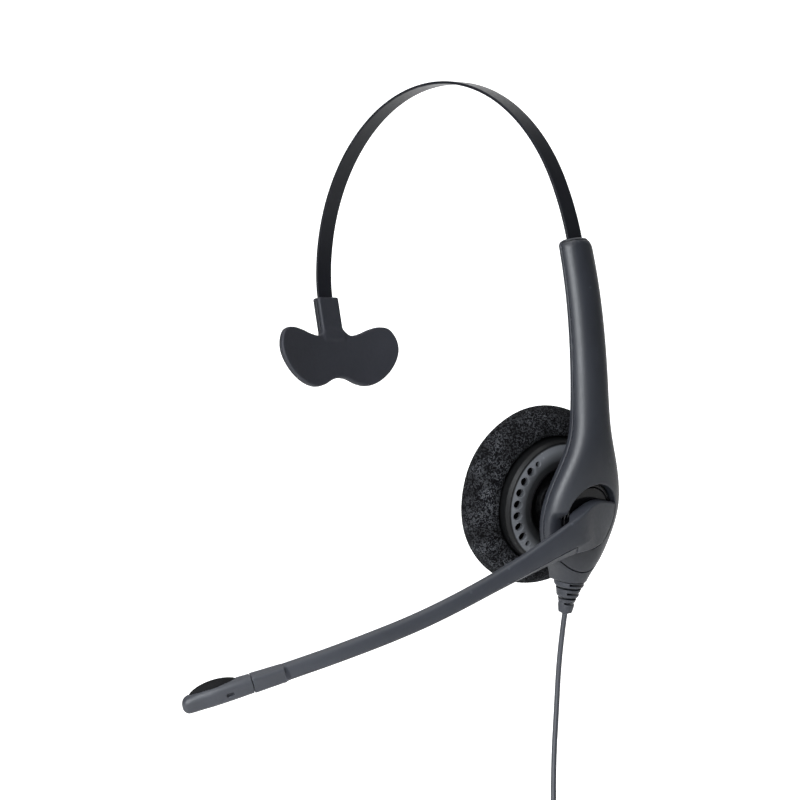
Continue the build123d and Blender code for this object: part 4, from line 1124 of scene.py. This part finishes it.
CAD_MATS = {
    "shell_screws": M_STEEL, "ball_stud": M_ACETAL, "junction_board": M_BOARD, "cord_tie": M_TIE,
    "plug_sleeve": M_RELIEF, "plug_body": M_SHELL, "plug_latch": M_BOOM, "plug_contacts": M_BRASS, "slider_shoe": M_ACETAL,
    "shoe_rivets": M_STEEL, "pivot_washer": M_SPRING, "pivot_screw": M_STEEL, "mic_boot": M_RELIEF, "mic_capsule": M_STEEL,
    "socket_liner": M_ACETAL, "vent_felt": M_FELT, "cushion_ring": M_SHELL, "speaker_baffle": M_SHELL, "speaker_frame": M_ACETAL,
    "speaker_magnet": M_STEEL, "speaker_cone": M_CONE}
for n, m in CAD_MATS.items():
    N[n].data.materials.clear()
    N[n].data.materials.append(m)

# ------------------------------------------------------------------ stage, light, camera
def sweep_stage():
    """Pale floor that rises into a backdrop all round behind the object."""
    prof = [(-3.2, 0.0), (0.9, 0.0)]
    for i in range(1, 13):
        a = math.radians(90 * i / 12)
        prof.append((0.9 + 0.9 * math.sin(a), 0.9 - 0.9 * math.cos(a)))
    prof.append((1.8, 3.4))
    vs, fs = [], []
    back = unit((-0.7464, 0.6638, 0))
    side = np.array((-back[1], back[0], 0))
    for s in (-3.5, 3.5):
        for d, h in prof:
            vs.append((back * d + side * s + np.array((0, 0, -0.235 + h))) / MM)
    n = len(prof)
    for i in range(n - 1):
        fs.append((i, i + 1, n + i + 1, n + i))
    return make_object("floor", vs, fs)


floor = sweep_stage()
fm, fnt, fb = principled("floor paper", (0.93, 0.93, 0.93), 0.9)
fb.inputs["Specular IOR Level"].default_value = 0.1
fn_ = tex(fnt, "ShaderNodeTexNoise", 3.0, 2.0)
fr_ = ramp(fnt, fn_.outputs["Fac"], [(0.2, (0.925, 0.925, 0.925)), (0.8, (0.94, 0.94, 0.94))])
link(fnt, fr_.outputs["Color"], fb.inputs["Base Color"])
fb.inputs["Emission Color"].default_value = (1, 1, 1, 1)
# the backdrop glows, the floor under the object hardly
gco = fnt.nodes.new("ShaderNodeNewGeometry")
gd = fnt.nodes.new("ShaderNodeVectorMath")
gd.operation = "DOT_PRODUCT"
gd.inputs[1].default_value = (-0.7464, 0.6638, 0.0)
link(fnt, gco.outputs["Position"], gd.inputs[0])
gm = node(fnt, "ShaderNodeMapRange")
gm.interpolation_type = "SMOOTHSTEP"
gm.inputs["From Min"].default_value, gm.inputs["From Max"].default_value = 0.15, 0.75
gm.inputs["To Min"].default_value, gm.inputs["To Max"].default_value = 0.12, 0.80
link(fnt, gd.outputs["Value"], gm.inputs["Value"])
gs = fnt.nodes.new("ShaderNodeVectorMath")
gs.operation = "DOT_PRODUCT"
gs.inputs[1].default_value = (0.6638, 0.7464, 0.0)
link(fnt, gco.outputs["Position"], gs.inputs[0])
ga = node(fnt, "ShaderNodeMath", operation="ABSOLUTE")
link(fnt, gs.outputs["Value"], ga.inputs[0])
gw = node(fnt, "ShaderNodeMapRange")
gw.interpolation_type = "SMOOTHSTEP"
gw.inputs["From Min"].default_value, gw.inputs["From Max"].default_value = 0.7, 1.5
gw.inputs["To Min"].default_value, gw.inputs["To Max"].default_value = 1.0, 0.25
link(fnt, ga.outputs[0], gw.inputs["Value"])
gx = node(fnt, "ShaderNodeMath", operation="MULTIPLY")
link(fnt, gm.outputs["Result"], gx.inputs[0])
link(fnt, gw.outputs["Result"], gx.inputs[1])
link(fnt, gx.outputs[0], fb.inputs["Emission Strength"])
floor.data.materials.append(fm)

world = bpy.data.worlds.new("studio")
bpy.context.scene.world = world
world.use_nodes = True
world.node_tree.nodes["Background"].inputs["Color"].default_value = (1, 1, 1, 1)
world.node_tree.nodes["Background"].inputs["Strength"].default_value = 0.13

VIEW = unit((0.7464, -0.6638, 0.0474))
RIGHT = np.array((0.66445, 0.74733, 0))
RIGHT = unit(RIGHT)
UP = np.cross(VIEW, RIGHT)
AIM = np.array((0.045, -0.03, 0.03))


def area(name, pos, size, power, target=AIM, color=(1, 1, 1), size_y=None):
    li = bpy.data.lights.new(name, "AREA")
    li.energy = power
    li.color = color
    li.shape = "RECTANGLE"
    li.size = size
    li.size_y = size_y or size
    ob = bpy.data.objects.new(name, li)
    bpy.context.scene.collection.objects.link(ob)
    ob.location = pos
    d = Vector(target) - Vector(pos)
    ob.rotation_mode = "QUATERNION"
    ob.rotation_quaternion = d.to_track_quat("-Z", "Y")
    return ob


def place(right, up, toward):
    return tuple(AIM + RIGHT * right + UP * up + VIEW * toward)


area("key", place(-0.44, 0.28, 0.92), 0.66, 28.0, size_y=1.1, color=(0.94, 0.97, 1.0))
area("low", place(-0.55, -0.55, 0.60), 0.35, 7.0, color=(0.94, 0.97, 1.0))
area("top", place(-0.1, 1.1, 0.10), 0.8, 6.0)

cam = bpy.data.cameras.new("camera")
cam.sensor_width = 36.0
cam.lens = 108.72
cam.clip_start, cam.clip_end = 0.05, 20
co = bpy.data.objects.new("camera", cam)
bpy.context.scene.collection.objects.link(co)
roll = math.radians(-0.23)
X = math.cos(roll) * RIGHT + math.sin(roll) * UP
Y = -math.sin(roll) * RIGHT + math.cos(roll) * UP
mw = Matrix.Identity(4)
for i in range(3):
    mw[i][0], mw[i][1], mw[i][2] = X[i], Y[i], VIEW[i]
mw[0][3], mw[1][3], mw[2][3] = 0.61945, -0.56508, 0.06860
co.matrix_world = mw
bpy.context.scene.camera = co
bpy.context.scene.view_settings.view_transform = "Standard"
bpy.context.scene.view_settings.look = "None"
